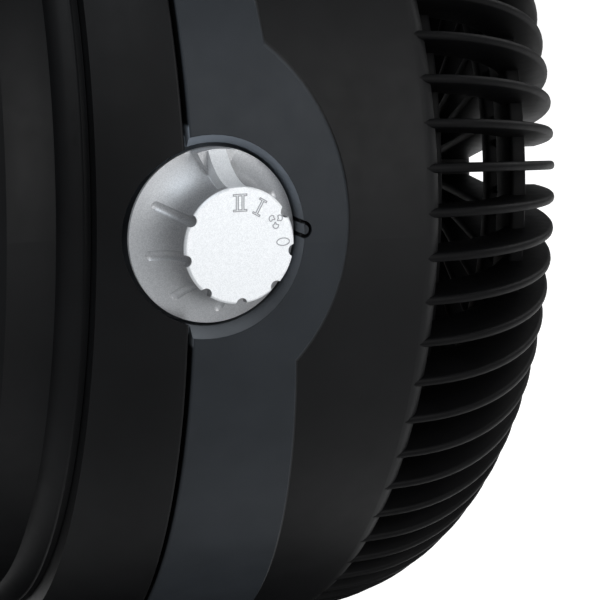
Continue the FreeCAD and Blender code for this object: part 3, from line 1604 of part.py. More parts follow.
def switch_parts():
    """The rotary switch under the well's floor, its nut on the floor and its shaft in the knob."""
    floor = -at.well_depth - at.well_floor
    base = floor - at.switch_depth
    half = at.switch_side * 0.5
    body = place(padded("switch_box", "XY_Plane", [
        (-half, -half),
        (half, -half),
        (half, half),
        (-half, half),
    ], at.switch_depth), along_knob(base), knob_turn())
    top = -at.well_depth + at.bush_rise
    bush = knob_rod("switch_bush", at.bush_radius, base + at.bush_root, top)
    bore = at.switch_shaft_radius + at.switch_shaft_clear
    tunnel = knob_rod("switch_tunnel", bore, floor - at.switch_tunnel, top + PAST)
    tabs = []
    count = int(at.switch_tabs.number)
    for index in range(count):
        across = (index - (count - 1) / 2) * at.switch_tab_pitch.number
        spot = along_knob(base - at.switch_tab, across, at.switch_tab_width.number * -0.5)
        sides = (at.switch_tab_thick, at.switch_tab_width, at.switch_tab + PAST)
        tabs.append(block(f"switch_tab{index}", sides, spot, knob_turn()))
    final(cut("rotary_switch", join("switch_solid", body, bush, *tabs), tunnel), "rotary_switch")
    seat = -at.well_depth
    corners = six_sides(at.bush_radius + at.switch_nut_reach)
    nut = padded("switch_nut_hex", "XY_Plane", corners, at.switch_nut_thick)
    place(nut, along_knob(seat), knob_turn())
    hole = knob_rod("switch_nut_hole", at.bush_radius, seat - PAST, seat + at.switch_nut_thick + PAST)
    final(cut("switch_nut", nut, hole), "switch_nut")
    tip = at.knob_height * 0.5 - at.knob_bore_gap
    low = floor - at.switch_shaft_depth
    final(knob_rod("switch_shaft", at.switch_shaft_radius, low, tip), "switch_shaft")


# Tilt lug and foot

def tilt_lug():
    """The lug under the body: a saddle that follows the shell and a tongue on the hinge bolt."""
    name = "tilt_lug"
    gap = at.fit_gap + at.band_height
    skin = shared(f"{name}_skin", shell_form(f"{name}_outside", gap + at.saddle_thick),
                  block(f"{name}_area", (at.saddle_width, at.saddle_length, at.axis_height * 0.5),
                        (at.saddle_width * -0.5, at.saddle_length * -0.5, 0)))
    tongue = rod(f"{name}_tongue", at.lug_radius, at.lug_width,
                 (at.lug_width * -0.5, 0, at.hinge_height), "x")
    neck_rise = at.axis_height - at.shell_radius - at.hinge_height + at.saddle_thick
    neck = block(f"{name}_neck", (at.lug_width, at.lug_radius * 2.0, neck_rise),
                 (at.lug_width * -0.5, -at.lug_radius, at.hinge_height))
    solid = join(f"{name}_solid", skin, tongue, neck)
    bore = rod(f"{name}_bore", at.hinge_radius + at.hinge_clear, at.lug_width + 2 * PAST,
               (at.lug_width * -0.5 - PAST, 0, at.hinge_height), "x")
    low = at.hinge_height - at.hinge_radius
    pilots = [rod(f"{name}_pilot{side:+.0f}", at.screw_radius - at.screw_bite, THROUGH,
                  (at.lug_screw_x * side, 0, low)) for side in LUG_SIDES]
    final(cut(name, solid, shell_form(f"{name}_shell", gap), bore, *pilots), name)


FOOT_SCREW_TURNS = (90.0, 210.0, 330.0)


def foot():
    """The round foot: dished shell with two ears, weight, bottom plate, resting pad and screws."""
    edge = at.foot_radius
    wall = at.foot_wall
    dish = turned("foot_dish", [
        (0, at.foot_height - wall),
        (at.foot_crown, at.foot_height - wall, -at.foot_curve),
        (edge - wall, at.foot_edge - wall),
        (edge - wall, at.pad_thick),
        (edge - at.foot_low_bevel, at.pad_thick, at.foot_low_round),
        (edge, at.pad_thick + at.foot_low_bevel),
        (edge, at.foot_edge - at.foot_top_bevel, at.foot_top_round),
        (edge - at.foot_top_bevel, at.foot_edge, at.foot_curve),
        (at.foot_crown, at.foot_height),
        (0, at.foot_height),
    ], on_floor)
    plate_top = at.pad_thick + at.plate_thick
    head_low = at.pad_thick + at.fit_gap
    post_rise = at.foot_height - wall * 0.7 - plate_top - at.foot_post_gap
    sink_depth = at.pad_thick + at.foot_sink_depth
    posts, pilots, screws, seats = [], [], [], []
    for index, angle in enumerate(FOOT_SCREW_TURNS):
        turn = math.radians(angle)
        x, y = at.foot_screw_circle * math.cos(turn), at.foot_screw_circle * math.sin(turn)
        posts.append(rod(f"foot_post{index}", at.foot_post, post_rise, (x, y, plate_top)))
        pilots.append(rod(f"foot_pilot{index}", at.screw_radius - at.foot_screw_bite,
                          at.foot_pilot_depth + at.fit_gap, (x, y, plate_top - at.fit_gap)))
        through = rod(f"foot_through{index}", at.screw_radius - at.fit_gap, plate_top + PAST, (x, y, 0))
        sink = rod(f"foot_sink{index}", at.screw_head + at.fit_gap, sink_depth, (x, y, 0))
        seats.append(join(f"foot_seat{index}", through, sink))
        shank = rod(f"foot_shank{index}", at.screw_radius - at.foot_screw_slack, at.foot_screw_length,
                    (x, y, head_low))
        head = rod(f"foot_head{index}", at.screw_head, at.foot_screw_head_thick, (x, y, head_low))
        screws.append(join(f"foot_screw{index}", shank, head))
    ears, bores = [], []
    ear_low = at.foot_height - wall * 0.6
    for side in (-1, 1):
        low_x = ear_inside() if side > 0 else -ear_inside() - at.ear_thick
        sides = (at.ear_thick, at.ear_radius * 2.0, at.hinge_height - ear_low)
        ears.append(block(f"ear_web{side:+.0f}", sides, (low_x, -at.ear_radius, ear_low)))
        ears.append(rod(f"ear_eye{side:+.0f}", at.ear_radius, at.ear_thick,
                        (low_x, 0, at.hinge_height), "x"))
        bores.append(rod(f"ear_bore{side:+.0f}", at.hinge_radius + at.hinge_clear, at.ear_thick + 2 * PAST,
                         (low_x - PAST, 0, at.hinge_height), "x"))
    final(cut("foot_shell", join("foot_solid", dish, *posts, *ears), *bores, *pilots), "foot_shell")
    final(rod("weight_disc", at.weight_radius, at.weight_thick, (0, 0, plate_top)), "foot_weight")
    plate = rod("plate_disc", edge - wall - at.fit_gap, at.plate_thick, (0, 0, at.pad_thick))
    final(cut("foot_plate", plate, *seats), "foot_plate")
    final(rod("foot_pad", at.pad_radius, at.pad_thick, (0, 0, 0)), "foot_pad")
    final(group("foot_screws", screws), "foot_screws")


def ear_inside():
    """The inner face of the foot's ears: the lug, a washer on each side and their gaps."""
    return at.lug_width * 0.5 + at.washer_thick + at.washer_gap * 2.0


def tilt_hinge():
    """The hinge between foot and lug: bolt, nut and two friction washers."""
    outer_x = ear_inside() + at.ear_thick
    seat = outer_x + at.hinge_seat
    shank = rod("hinge_shank", at.hinge_radius, seat * 2.0 + at.hinge_tail, (-seat, 0, at.hinge_height), "x")
    head = rod("hinge_head", at.hinge_radius + at.hinge_head, at.hinge_head_thick,
               (-seat - at.hinge_head_thick, 0, at.hinge_height), "x")
    final(join("hinge_bolt", shank, head), "hinge_bolt")
    corners = six_sides(at.hinge_radius + at.hinge_nut_reach)
    nut = padded("hinge_nut_hex", "XY_Plane", corners, at.hinge_nut_thick)
    place(nut, (seat, 0, at.hinge_height), ALONG["x"])
    hole = rod("hinge_nut_hole", at.hinge_radius, at.hinge_nut_thick + 2 * PAST,
               (seat - PAST, 0, at.hinge_height), "x")
    final(cut("hinge_nut", nut, hole), "hinge_nut")
    washers = []
    near = at.lug_width * 0.5 + at.washer_gap
    for side in (-1, 1):
        low_x = near if side > 0 else -near - at.washer_thick
        disc = rod(f"washer_disc{side:+.0f}", at.ear_radius, at.washer_thick,
                   (low_x, 0, at.hinge_height), "x")
        hole = rod(f"washer_hole{side:+.0f}", at.hinge_radius + at.hinge_clear, at.washer_thick + 2 * PAST,
                   (low_x - PAST, 0, at.hinge_height), "x")
        washers.append(cut(f"washer{side:+.0f}", disc, hole))
    final(group("friction_washers", washers), "friction_washers")


rear_shell()
front_housing()
rear_grille()
front_bezel()
front_grille()
heater_duct()
mica_card("mica_upright", True)
mica_card("mica_level", False)
element_ribbon("ribbon_outer", at.ribbon_outer, at.outer_folds)
element_ribbon("ribbon_inner", at.ribbon_inner, at.inner_folds)
element_guards()
motor_bracket()
motor()
fan()
bracket_box("terminal_block", 225.0, TERMINAL_BLOCK, TERMINAL_STUDS)
bracket_box("tip_over_switch", 135.0, TIP_SWITCH, TIP_STUDS)
cord_gland()
housing_screws()
lug_screws()
control_knob()
switch_parts()
tilt_lug()
foot()
tilt_hinge()

doc.recompute()
failed = [thing.Name for thing in doc.Objects if {"Invalid", "Error"} & set(thing.State)]
if failed:
    raise SystemExit(f"failed to build: {failed}")
for part in PARTS:
    if part.Shape.isNull() or not part.Shape.isValid() or not part.Shape.Solids:
        raise SystemExit(f"{part.Label} is not a sound solid")
os.makedirs("parts", exist_ok=True)
for part in PARTS:
    part.Shape.exportStep(f"parts/{part.Label}.step")
    print(part.Label, len(part.Shape.Solids), round(part.Shape.Volume))
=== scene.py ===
# %% [markdown]
# A round fan heater on a tilting foot, seen close from its side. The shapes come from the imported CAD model.
# This lesson gives them their finishes, adds the small signs on the knob, models the rear cage again with
# round edges, and sets up the camera, the floor and the light. Everything is in metres, in the CAD model's
# own frame: X points to the knob's side, Y to the rear and Z up.

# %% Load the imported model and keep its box
import json
import math
import bpy
from mathutils import Matrix, Vector

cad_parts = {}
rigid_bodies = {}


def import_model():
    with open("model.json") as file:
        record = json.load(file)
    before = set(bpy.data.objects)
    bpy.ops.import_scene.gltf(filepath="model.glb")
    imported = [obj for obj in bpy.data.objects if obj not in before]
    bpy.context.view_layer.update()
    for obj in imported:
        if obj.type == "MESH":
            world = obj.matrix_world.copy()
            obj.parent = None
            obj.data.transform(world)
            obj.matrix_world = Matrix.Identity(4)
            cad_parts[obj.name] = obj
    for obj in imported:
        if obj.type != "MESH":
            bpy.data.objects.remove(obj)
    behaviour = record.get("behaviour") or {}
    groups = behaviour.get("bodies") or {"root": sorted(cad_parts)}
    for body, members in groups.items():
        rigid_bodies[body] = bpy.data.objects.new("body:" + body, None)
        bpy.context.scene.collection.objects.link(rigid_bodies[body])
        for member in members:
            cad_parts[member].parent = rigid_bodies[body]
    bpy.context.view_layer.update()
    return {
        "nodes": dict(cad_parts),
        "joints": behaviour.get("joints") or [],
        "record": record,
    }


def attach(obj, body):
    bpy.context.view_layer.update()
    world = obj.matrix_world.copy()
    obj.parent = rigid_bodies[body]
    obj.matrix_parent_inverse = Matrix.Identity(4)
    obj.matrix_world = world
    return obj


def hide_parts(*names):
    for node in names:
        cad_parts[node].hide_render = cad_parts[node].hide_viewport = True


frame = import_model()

MM = 0.001
nodes = frame["nodes"]


def in_mm(values):
    """Lengths in metres as rounded millimetres, to print."""
    return [round(value / MM, 1) for value in values]


print("pieces in the packed model:", len(nodes))

# %% [markdown]
# Two places carry the rest: the middle of the seam on the body's axis, about which the fan spins, and the
# middle of the knob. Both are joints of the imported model, so they are read from it. The knob leans a little,
# so its face has directions of its own: one to the side, one up and one straight out.

# %% Places and directions from the joints
joints = {joint["name"]: joint for joint in frame["joints"]}
SIDE, REAR, UP = Vector((1, 0, 0)), Vector((0, 1, 0)), Vector((0, 0, 1))
SEAM_CENTRE = Vector(joints["fan_spin"]["pos_m"])
KNOB_CENTRE = Vector(joints["knob_turn"]["pos_m"])
KNOB_OUT = -Vector(joints["knob_turn"]["axis"]).normalized()
KNOB_SIDE = UP.cross(KNOB_OUT)


def on_dial(degrees):
    """The direction at an angle on the knob's face, counted from its rear side and upwards."""
    return KNOB_SIDE * math.cos(math.radians(degrees)) + UP * math.sin(math.radians(degrees))


print("seam's centre, mm:", in_mm(SEAM_CENTRE), "knob's centre, mm:", in_mm(KNOB_CENTRE))

# %% [markdown]
# The camera. The photograph looks at the knob's side from a little above and a little to the front. Its
# direction, distance and lens were fitted to the outline of the body, the seam, the knob and the fins, so
# they are written here as plain angles and lengths. A camera looks along its own -Z axis, so its matrix is
# built from the way it faces.

# %% Camera at the photograph's place
VIEW_AZIMUTH = math.radians(70.37)
VIEW_ELEVATION = math.radians(10.24)
VIEW_ROLL = math.radians(1.14)
VIEW_DISTANCE = 677.1 * MM
VIEW_TARGET = Vector((0.0, 41.9, 123.9)) * MM
LENS_PIXELS = 2450.2
PHOTO_PIXELS = 600
SENSOR_WIDTH = 36.0
NEAREST, FARTHEST = 0.05, 60.0

back = Vector((
    math.sin(VIEW_AZIMUTH) * math.cos(VIEW_ELEVATION),
    -math.cos(VIEW_AZIMUTH) * math.cos(VIEW_ELEVATION),
    math.sin(VIEW_ELEVATION),
))
level = UP.cross(back).normalized()
upright = back.cross(level)
right = level * math.cos(VIEW_ROLL) + upright * math.sin(VIEW_ROLL)
above = upright * math.cos(VIEW_ROLL) - level * math.sin(VIEW_ROLL)

lens = bpy.data.cameras.new("photo_camera")
lens.sensor_width = SENSOR_WIDTH
lens.lens = SENSOR_WIDTH * LENS_PIXELS / PHOTO_PIXELS
lens.clip_start = NEAREST
lens.clip_end = FARTHEST
camera = bpy.data.objects.new("photo_camera", lens)
bpy.context.scene.collection.objects.link(camera)
facing = Matrix((right, above, back)).transposed().to_4x4()
camera.matrix_world = Matrix.Translation(VIEW_TARGET + back * VIEW_DISTANCE) @ facing
bpy.context.scene.camera = camera
print("camera at, mm:", in_mm(camera.location), "lens", round(lens.lens, 1))

# %% [markdown]
# Finishes. Each one is a small node tree on Object coordinates, which a finished piece shares with the CAD
# model, so a pattern keeps its real size in millimetres. The helpers below add the nodes that most finishes
# use: noise of a given grain, a ramp between two close colours, a span of roughness and a fine bump. A mask
# comes from lengths: how far a point lies along a direction, and a soft step between two such lengths.

# %% Helpers for the finishes


class Finish:
    """A procedural material that is built up from patterns on the piece's own coordinates."""

    NOISE_ROUGHNESS = 0.55
    WAVE_SCALE = math.pi / 10

    def __init__(self, name):
        self.material = bpy.data.materials.new(name)
        self.material.use_nodes = True
        self.tree = self.material.node_tree
        self.shader = self.tree.nodes["Principled BSDF"]
        self.place = self.tree.nodes.new("ShaderNodeTexCoord").outputs["Object"]

    def link(self, start, end):
        self.tree.links.new(start, end)

    def set(self, **values):
        """Constants on the shader's own sockets: spaces in their names are written as underscores."""
        for key, value in values.items():
            self.shader.inputs[key.replace("_", " ")].default_value = value
        return self

    def drive(self, socket, value):
        """A socket of the shader follows another node's output."""
        self.link(value, self.shader.inputs[socket])
        return self

    def scaled(self, grain, stretch=(1, 1, 1)):
        """The piece's coordinates in grains, each so many mm."""
        mapping = self.tree.nodes.new("ShaderNodeMapping")
        mapping.inputs["Scale"].default_value = Vector(stretch) / (grain * MM)
        self.link(self.place, mapping.inputs["Vector"])
        return mapping.outputs["Vector"]

    def noise(self, grain, detail=3.0, stretch=(1, 1, 1)):
        """Noise whose blotches are about one grain across, in mm."""
        texture = self.tree.nodes.new("ShaderNodeTexNoise")
        texture.inputs["Scale"].default_value = 1.0
        texture.inputs["Detail"].default_value = detail
        texture.inputs["Roughness"].default_value = self.NOISE_ROUGHNESS
        self.link(self.scaled(grain, stretch), texture.inputs["Vector"])
        return texture.outputs["Fac"]

    def cells(self, grain):
        """Flat random cells about one grain across, in mm, as in spangle or flake."""
        texture = self.tree.nodes.new("ShaderNodeTexVoronoi")
        texture.inputs["Scale"].default_value = 1.0
        self.link(self.scaled(grain), texture.inputs["Vector"])
        split = self.tree.nodes.new("ShaderNodeSeparateColor")
        self.link(texture.outputs["Color"], split.inputs["Color"])
        return split.outputs["Red"]

    def stripes(self, pitch, axis):
        """Even stripes across an axis, in mm, as in a stack of sheets or a winding."""
        texture = self.tree.nodes.new("ShaderNodeTexWave")
        texture.wave_type = "BANDS"
        texture.bands_direction = axis
        texture.inputs["Scale"].default_value = self.WAVE_SCALE / (pitch * MM)
        texture.inputs["Distortion"].default_value = 0.0
        self.link(self.place, texture.inputs["Vector"])
        return texture.outputs["Fac"]

    def sum(self, kind, *values):
        """A Math node of one kind; each value is a number or another node's output."""
        node = self.tree.nodes.new("ShaderNodeMath")
        node.operation = kind
        for socket, value in zip(node.inputs, values):
            if isinstance(value, (int, float)):
                socket.default_value = value
            else:
                self.link(value, socket)
        return node.outputs["Value"]

    def along(self, direction, start=(0, 0, 0)):
        """How far a point lies from a start along a direction, in metres."""
        offset = self.tree.nodes.new("ShaderNodeVectorMath")
        offset.operation = "SUBTRACT"
        offset.inputs[1].default_value = start
        self.link(self.place, offset.inputs[0])
        length = self.tree.nodes.new("ShaderNodeVectorMath")
        length.operation = "DOT_PRODUCT"
        length.inputs[1].default_value = direction
        self.link(offset.outputs["Vector"], length.inputs[0])
        return length.outputs["Value"]

    def diagonal(self, one, other):
        """The length across two lengths that are at right angles."""
        squares = [self.sum("MULTIPLY", length, length) for length in (one, other)]
        return self.sum("SQRT", self.sum("ADD", *squares))

    def step(self, length, start, end):
        """A soft step from nought to one as a length goes from one value to another, in mm."""
        span = self.tree.nodes.new("ShaderNodeMapRange")
        span.interpolation_type = "SMOOTHSTEP"
        span.inputs["From Min"].default_value = start * MM
        span.inputs["From Max"].default_value = end * MM
        self.link(length, span.inputs["Value"])
        return span.outputs["Result"]

    def every(self, *masks):
        """One where every mask is one."""
        result = masks[0]
        for mask in masks[1:]:
            result = self.sum("MULTIPLY", result, mask)
        return result

    def either(self, *masks):
        """One where at least one mask is one."""
        result = masks[0]
        for mask in masks[1:]:
            result = self.sum("MAXIMUM", result, mask)
        return result

    def mix(self, mask, low, high):
        """One colour where the mask is nought and another where it is one."""
        blend = self.tree.nodes.new("ShaderNodeMix")
        blend.data_type = "RGBA"
        self.link(mask, blend.inputs["Factor"])
        self.link(low, blend.inputs["A"])
        self.link(high, blend.inputs["B"])
        return blend.outputs["Result"]

    def ramp(self, pattern, low, high, span=(0.3, 0.7)):
        """A colour that runs from one to another with a pattern."""
        ramp = self.tree.nodes.new("ShaderNodeValToRGB")
        for element, position, colour in zip(ramp.color_ramp.elements, span, (low, high)):
            element.position = position
            element.color = (*colour, 1)
        self.link(pattern, ramp.inputs["Fac"])
        return ramp.outputs["Color"]

    def colours(self, pattern, low, high, span=(0.3, 0.7)):
        """The base colour runs from one colour to another with a pattern."""
        return self.drive("Base Color", self.ramp(pattern, low, high, span))

    def gloss(self, pattern, low, high):
        """The roughness runs between two values with a pattern."""
        span = self.tree.nodes.new("ShaderNodeMapRange")
        span.inputs["To Min"].default_value = low
        span.inputs["To Max"].default_value = high
        self.link(pattern, span.inputs["Value"])
        return self.drive("Roughness", span.outputs["Result"])

    def bump(self, pattern, height, strength):
        """A fine relief, in mm, from a pattern."""
        relief = self.tree.nodes.new("ShaderNodeBump")
        relief.inputs["Strength"].default_value = strength
        relief.inputs["Distance"].default_value = height * MM
        self.link(pattern, relief.inputs["Height"])
        return self.drive("Normal", relief.outputs["Normal"])


def dress(finish, *names):
    """A finish goes into the slots of CAD nodes."""
    for name in names:
        slots = nodes[name].data.materials
        if not slots:
            slots.append(finish.material)
        for index in range(len(slots)):
            slots[index] = finish.material
    print(finish.material.name, "on", len(names), "nodes")


# %% [markdown]
# The floor is a plain pale sheet that runs far behind the heater, because the camera looks down at it and
# sees no horizon. The photograph's background is pure white, so the sheet gives light of its own behind the
# heater and hides the soft shadow there. In front of the heater it gives none, because black plastic would
# mirror it and look grey. To the eye alone, which a Light Path node tells from mirrored and scattered light,
# the sheet is pale all over.

# %% Pale floor
FLOOR_SIDE = 40.0
PAPER_GREY = (0.60, 0.60, 0.60, 1)
BEHIND = (-0.94, 0.34, 0.0)
GLOW_EDGE = (-250, 100)
GLOW_BEHIND = 0.95
PALE_TO_THE_EYE = 0.88


def deselect_all():
    """Nothing stays selected, so that the next operator acts on the new piece alone."""
    for thing in bpy.data.objects:
        thing.select_set(False)


deselect_all()
bpy.ops.mesh.primitive_plane_add(size=FLOOR_SIDE, location=(0, 0, 0))
floor = bpy.context.active_object
floor.name = "studio_floor"
paper = Finish("studio_paper")
paper.set(Base_Color=PAPER_GREY, Roughness=0.9, Specular_IOR_Level=0.1, Emission_Color=(1, 1, 1, 1))
to_the_eye = paper.tree.nodes.new("ShaderNodeLightPath").outputs["Is Camera Ray"]
glow = paper.sum("MULTIPLY", paper.step(paper.along(BEHIND), *GLOW_EDGE), GLOW_BEHIND)
pallor = paper.sum("MULTIPLY", to_the_eye, PALE_TO_THE_EYE)
paper.drive("Emission Strength", paper.either(glow, pallor))
floor.data.materials.append(paper.material)
print("floor side, m:", FLOOR_SIDE)

# %% [markdown]
# The light is a dim white room with large soft panels: one high on the camera's side, one above the front
# that lays a cool sheen on the upper band, one behind that draws a thin light line on the fins, and one that
# the knob's face mirrors. Black plastic shows little of its own colour, so what is seen of it is mostly these
# panels, and the room stays dim to keep it black. To the eye the room is plain white, as the photograph's
# background is.

# %% Dim room that looks white
ROOM_TINT = (0.95, 0.97, 1.0, 1)
ROOM_LIGHT = 0.22

world = bpy.data.worlds.new("white_room")
bpy.context.scene.world = world
bpy.context.scene.view_settings.view_transform = "Standard"
world.use_nodes = True
room = world.node_tree.nodes["Background"]
room.inputs["Color"].default_value = ROOM_TINT
room.inputs["Strength"].default_value = ROOM_LIGHT
backdrop = world.node_tree.nodes.new("ShaderNodeBackground")
backdrop.inputs["Color"].default_value = (1, 1, 1, 1)
seen = world.node_tree.nodes.new("ShaderNodeLightPath")
choice = world.node_tree.nodes.new("ShaderNodeMixShader")
output = world.node_tree.nodes["World Output"]
for start, end in (
    (seen.outputs["Is Camera Ray"], choice.inputs["Fac"]),
    (room.outputs["Background"], choice.inputs[1]),
    (backdrop.outputs["Background"], choice.inputs[2]),
    (choice.outputs["Shader"], output.inputs["Surface"]),
):
    world.node_tree.links.new(start, end)
print("room's light:", ROOM_LIGHT)

# %% Soft panels
WHITE, COOL_WHITE = (1, 1, 1), (0.86, 0.93, 1.0)
HEART = (0, 0, 0.16)
KNOB_AIM = (0.117, -0.02, 0.16)
# Name, place, aim, side in metres, power in watts and tint of each panel
PANELS = (
    ("panel_camera_side", (1.3, -0.8, 1.1), HEART, 0.9, 4.2, WHITE),
    ("panel_over_front", (0.5, -0.6, 1.6), HEART, 0.8, 7.0, COOL_WHITE),
    ("panel_behind", (-0.4, 1.6, 1.2), HEART, 1.0, 8.0, WHITE),
    ("panel_knob_face", (0.88, 0.42, 0.42), KNOB_AIM, 0.7, 4.3, WHITE),
)


def soft_panel(name, place, aim, side, power, tint):
    """A square area light that faces a point."""
    light = bpy.data.lights.new(name, "AREA")
    light.size = side
    light.energy = power
    light.color = tint
    lamp = bpy.data.objects.new(name, light)
    bpy.context.scene.collection.objects.link(lamp)
    way = Vector(aim) - Vector(place)
    lamp.matrix_world = Matrix.Translation(place) @ way.to_track_quat("-Z", "Y").to_matrix().to_4x4()


for panel in PANELS:
    soft_panel(*panel)
print("lights:", len(PANELS))

# %% [markdown]
# The body is moulded in black plastic with a fine eroded grain: satin, never glossy, a little uneven where
# the mould was polished less, and very slightly lighter in blotches. The grain is real relief of a few
# hundredths of a millimetre, so it is a bump and not a colour.

# %% Satin black of the body
BLACK_LOW, BLACK_HIGH = (0.0022, 0.0023, 0.0026), (0.0048, 0.0050, 0.0056)
BLACK_BLOTCH = 28


def satin_black(name):
    """The body's black, with its uneven polish and its grain."""
    finish = Finish(name).set(Specular_IOR_Level=0.17)
    finish.gloss(finish.noise(grain=5.0, detail=4.0), low=0.42, high=0.58)
    finish.bump(finish.noise(grain=0.35, detail=2.0), height=0.016, strength=0.6)
    return finish


body_black = satin_black("satin_black_moulding")
body_black.colours(body_black.noise(BLACK_BLOTCH), BLACK_LOW, BLACK_HIGH)
dress(body_black, "front_housing", "front_bezel", "tilt_lug", "foot_shell")

# %% [markdown]
# The rear half has a raised band beside the seam that swells round the knob. Its colour is a painted sheen: a
# shade lighter and cooler than the shell behind it, standing in for the light that the band catches. The band
# is told from the shell by its height: the distance from the body's axis, less the radius that the shell has
# at that depth.

# %% Rear half with the painted sheen on its band
SHELL_RADIUS = 121.4 * MM
SHELL_CREST = -8.9 * MM
SHELL_CURVE = 750.0 * MM
BAND_EDGE = (0.25, 0.75)
BAND_BLOTCH = 18
BAND_SHEEN_LOW, BAND_SHEEN_HIGH = (0.0190, 0.0225, 0.0268), (0.0255, 0.0297, 0.0352)

shell_black = satin_black("satin_black_with_band")
reach = shell_black.diagonal(shell_black.along(SIDE, SEAM_CENTRE), shell_black.along(UP, SEAM_CENTRE))
depth = shell_black.along(REAR, SEAM_CENTRE + REAR * SHELL_CREST)
fall = shell_black.sum("DIVIDE", shell_black.sum("MULTIPLY", depth, depth), 2 * SHELL_CURVE)
rise = shell_black.sum("ADD", shell_black.sum("SUBTRACT", reach, SHELL_RADIUS), fall)
on_band = shell_black.step(rise, *BAND_EDGE)
plain = shell_black.ramp(shell_black.noise(BLACK_BLOTCH), BLACK_LOW, BLACK_HIGH)
# Painted sheen: the band's lighter, cooler colour stands in for the light that its face catches.
raised = shell_black.ramp(shell_black.noise(BAND_BLOTCH), BAND_SHEEN_LOW, BAND_SHEEN_HIGH)
banded = shell_black.mix(on_band, plain, raised)
print("shell's radius, mm:", in_mm([SHELL_RADIUS]), "band's edge, mm:", BAND_EDGE)

# %% [markdown]
# The flared wall of the knob's well is painted pale: a painted highlight at its top, where the wall catches
# light from above, and a lighter painted tone below it that lifts the knob's shadow there. It is told by its
# distance from the knob's axis and by lying lower than the band. The line of the pointer notch, a round-ended
# groove about a small island, cuts into that wall and stays black.

# %% Wall of the knob's well, and the pointer notch
WALL_BLOTCH = 9
WALL_LIGHT_LOW, WALL_LIGHT_HIGH = (0.108, 0.119, 0.132), (0.134, 0.146, 0.161)
WALL_HIGHLIGHT_LOW, WALL_HIGHLIGHT_HIGH = (0.210, 0.240, 0.279), (0.258, 0.292, 0.336)
WELL_REACH = (25.5, 24.5)
WELL_SUNK = (0.90, 0.70)
HIGHLIGHT_ABOVE = (2.0, 12.0)
NOTCH_ANGLE = 3.0
GROOVE_SIDE = (2.0, 2.15)
ISLAND_SIDE = (1.2, 1.05)
ISLAND_END = (21.35, 21.2)
NOTCH_START = (17.0, 15.0)

higher = shell_black.along(UP, KNOB_CENTRE)
from_knob = shell_black.diagonal(shell_black.along(KNOB_SIDE, KNOB_CENTRE), higher)
# Painted light: the lower wall is lighter than the band to lift the knob's shadow, and the wall's top gets a
# painted highlight.
lower_wall_painted_light = shell_black.ramp(shell_black.noise(WALL_BLOTCH), WALL_LIGHT_LOW, WALL_LIGHT_HIGH)
wall_painted_highlight = shell_black.ramp(shell_black.noise(WALL_BLOTCH), WALL_HIGHLIGHT_LOW, WALL_HIGHLIGHT_HIGH)
wall = shell_black.mix(shell_black.step(higher, *HIGHLIGHT_ABOVE), lower_wall_painted_light, wall_painted_highlight)

along_notch = shell_black.along(on_dial(NOTCH_ANGLE), KNOB_CENTRE)
off_notch = shell_black.sum("ABSOLUTE", shell_black.along(on_dial(NOTCH_ANGLE + 90), KNOB_CENTRE))
on_island = shell_black.every(
    shell_black.step(off_notch, *ISLAND_SIDE),
    shell_black.step(along_notch, *ISLAND_END),
)
beside_groove = shell_black.step(off_notch, *GROOVE_SIDE)
before_notch = shell_black.step(along_notch, *NOTCH_START)
off_groove = shell_black.either(beside_groove, on_island, before_notch)

in_well = shell_black.step(from_knob, *WELL_REACH)
sunk = shell_black.step(rise, *WELL_SUNK)
on_wall = shell_black.every(in_well, sunk, off_groove)
shell_black.drive("Base Color", shell_black.mix(on_wall, banded, wall))
dress(shell_black, "rear_shell")

# %% [markdown]
# The rear cage and the front guard are the same black, from another mould with less polish: a touch rougher
# and with faint flow lines along the fins.

# %% Matt black of the grilles
GRILLE_LOW, GRILLE_HIGH = (0.0018, 0.0018, 0.0020), (0.0036, 0.0036, 0.0040)

grille_black = Finish("matt_black_grille").set(Specular_IOR_Level=0.07)
grille_black.colours(grille_black.noise(grain=14), GRILLE_LOW, GRILLE_HIGH)
grille_black.gloss(grille_black.noise(grain=3.0, detail=4.0), low=0.42, high=0.60)
grille_black.bump(grille_black.noise(grain=0.4, detail=2.0, stretch=(1, 0.4, 1)), height=0.015, strength=0.5)
dress(grille_black, "rear_grille", "front_grille")

# %% [markdown]
# The knob is sprayed silver: fine flakes in a clear binder. Its tones are painted light and shade: the flat
# face and the top of the pointer rib are painted nearly white, as if lit straight on, while the steep neck
# under the face is painted a shaded soft grey that gets lighter to the rim. They are told apart by their
# height over the knob's rim. Small flat cells give the flake, a slow noise gives the uneven coat.

# %% Silver paint of the knob
FLAKE = 0.18
FLAKE_SPAN = (0.1, 0.9)
NECK_SHADE_LOW, NECK_SHADE_HIGH = (0.27, 0.275, 0.285), (0.36, 0.365, 0.375)
RIM_LIGHT_LOW, RIM_LIGHT_HIGH = (0.54, 0.55, 0.565), (0.67, 0.68, 0.695)
FACE_LIGHT_LOW, FACE_LIGHT_HIGH = (0.80, 0.82, 0.84), (0.93, 0.95, 0.97)
SKIRT_SHADE_FADE = (9.0, 1.0)
FACE_EDGE = (15.6, 16.3)
RIB_ANGLE = 93.0
RIB_SIDE = (2.25, 2.05)
RIB_ABOVE = (6.0, 8.0)
RIB_FOOT = (4.6, 5.6)

silver = Finish("silver_paint").set(Metallic=0.55)
lift = silver.along(KNOB_OUT, KNOB_CENTRE)
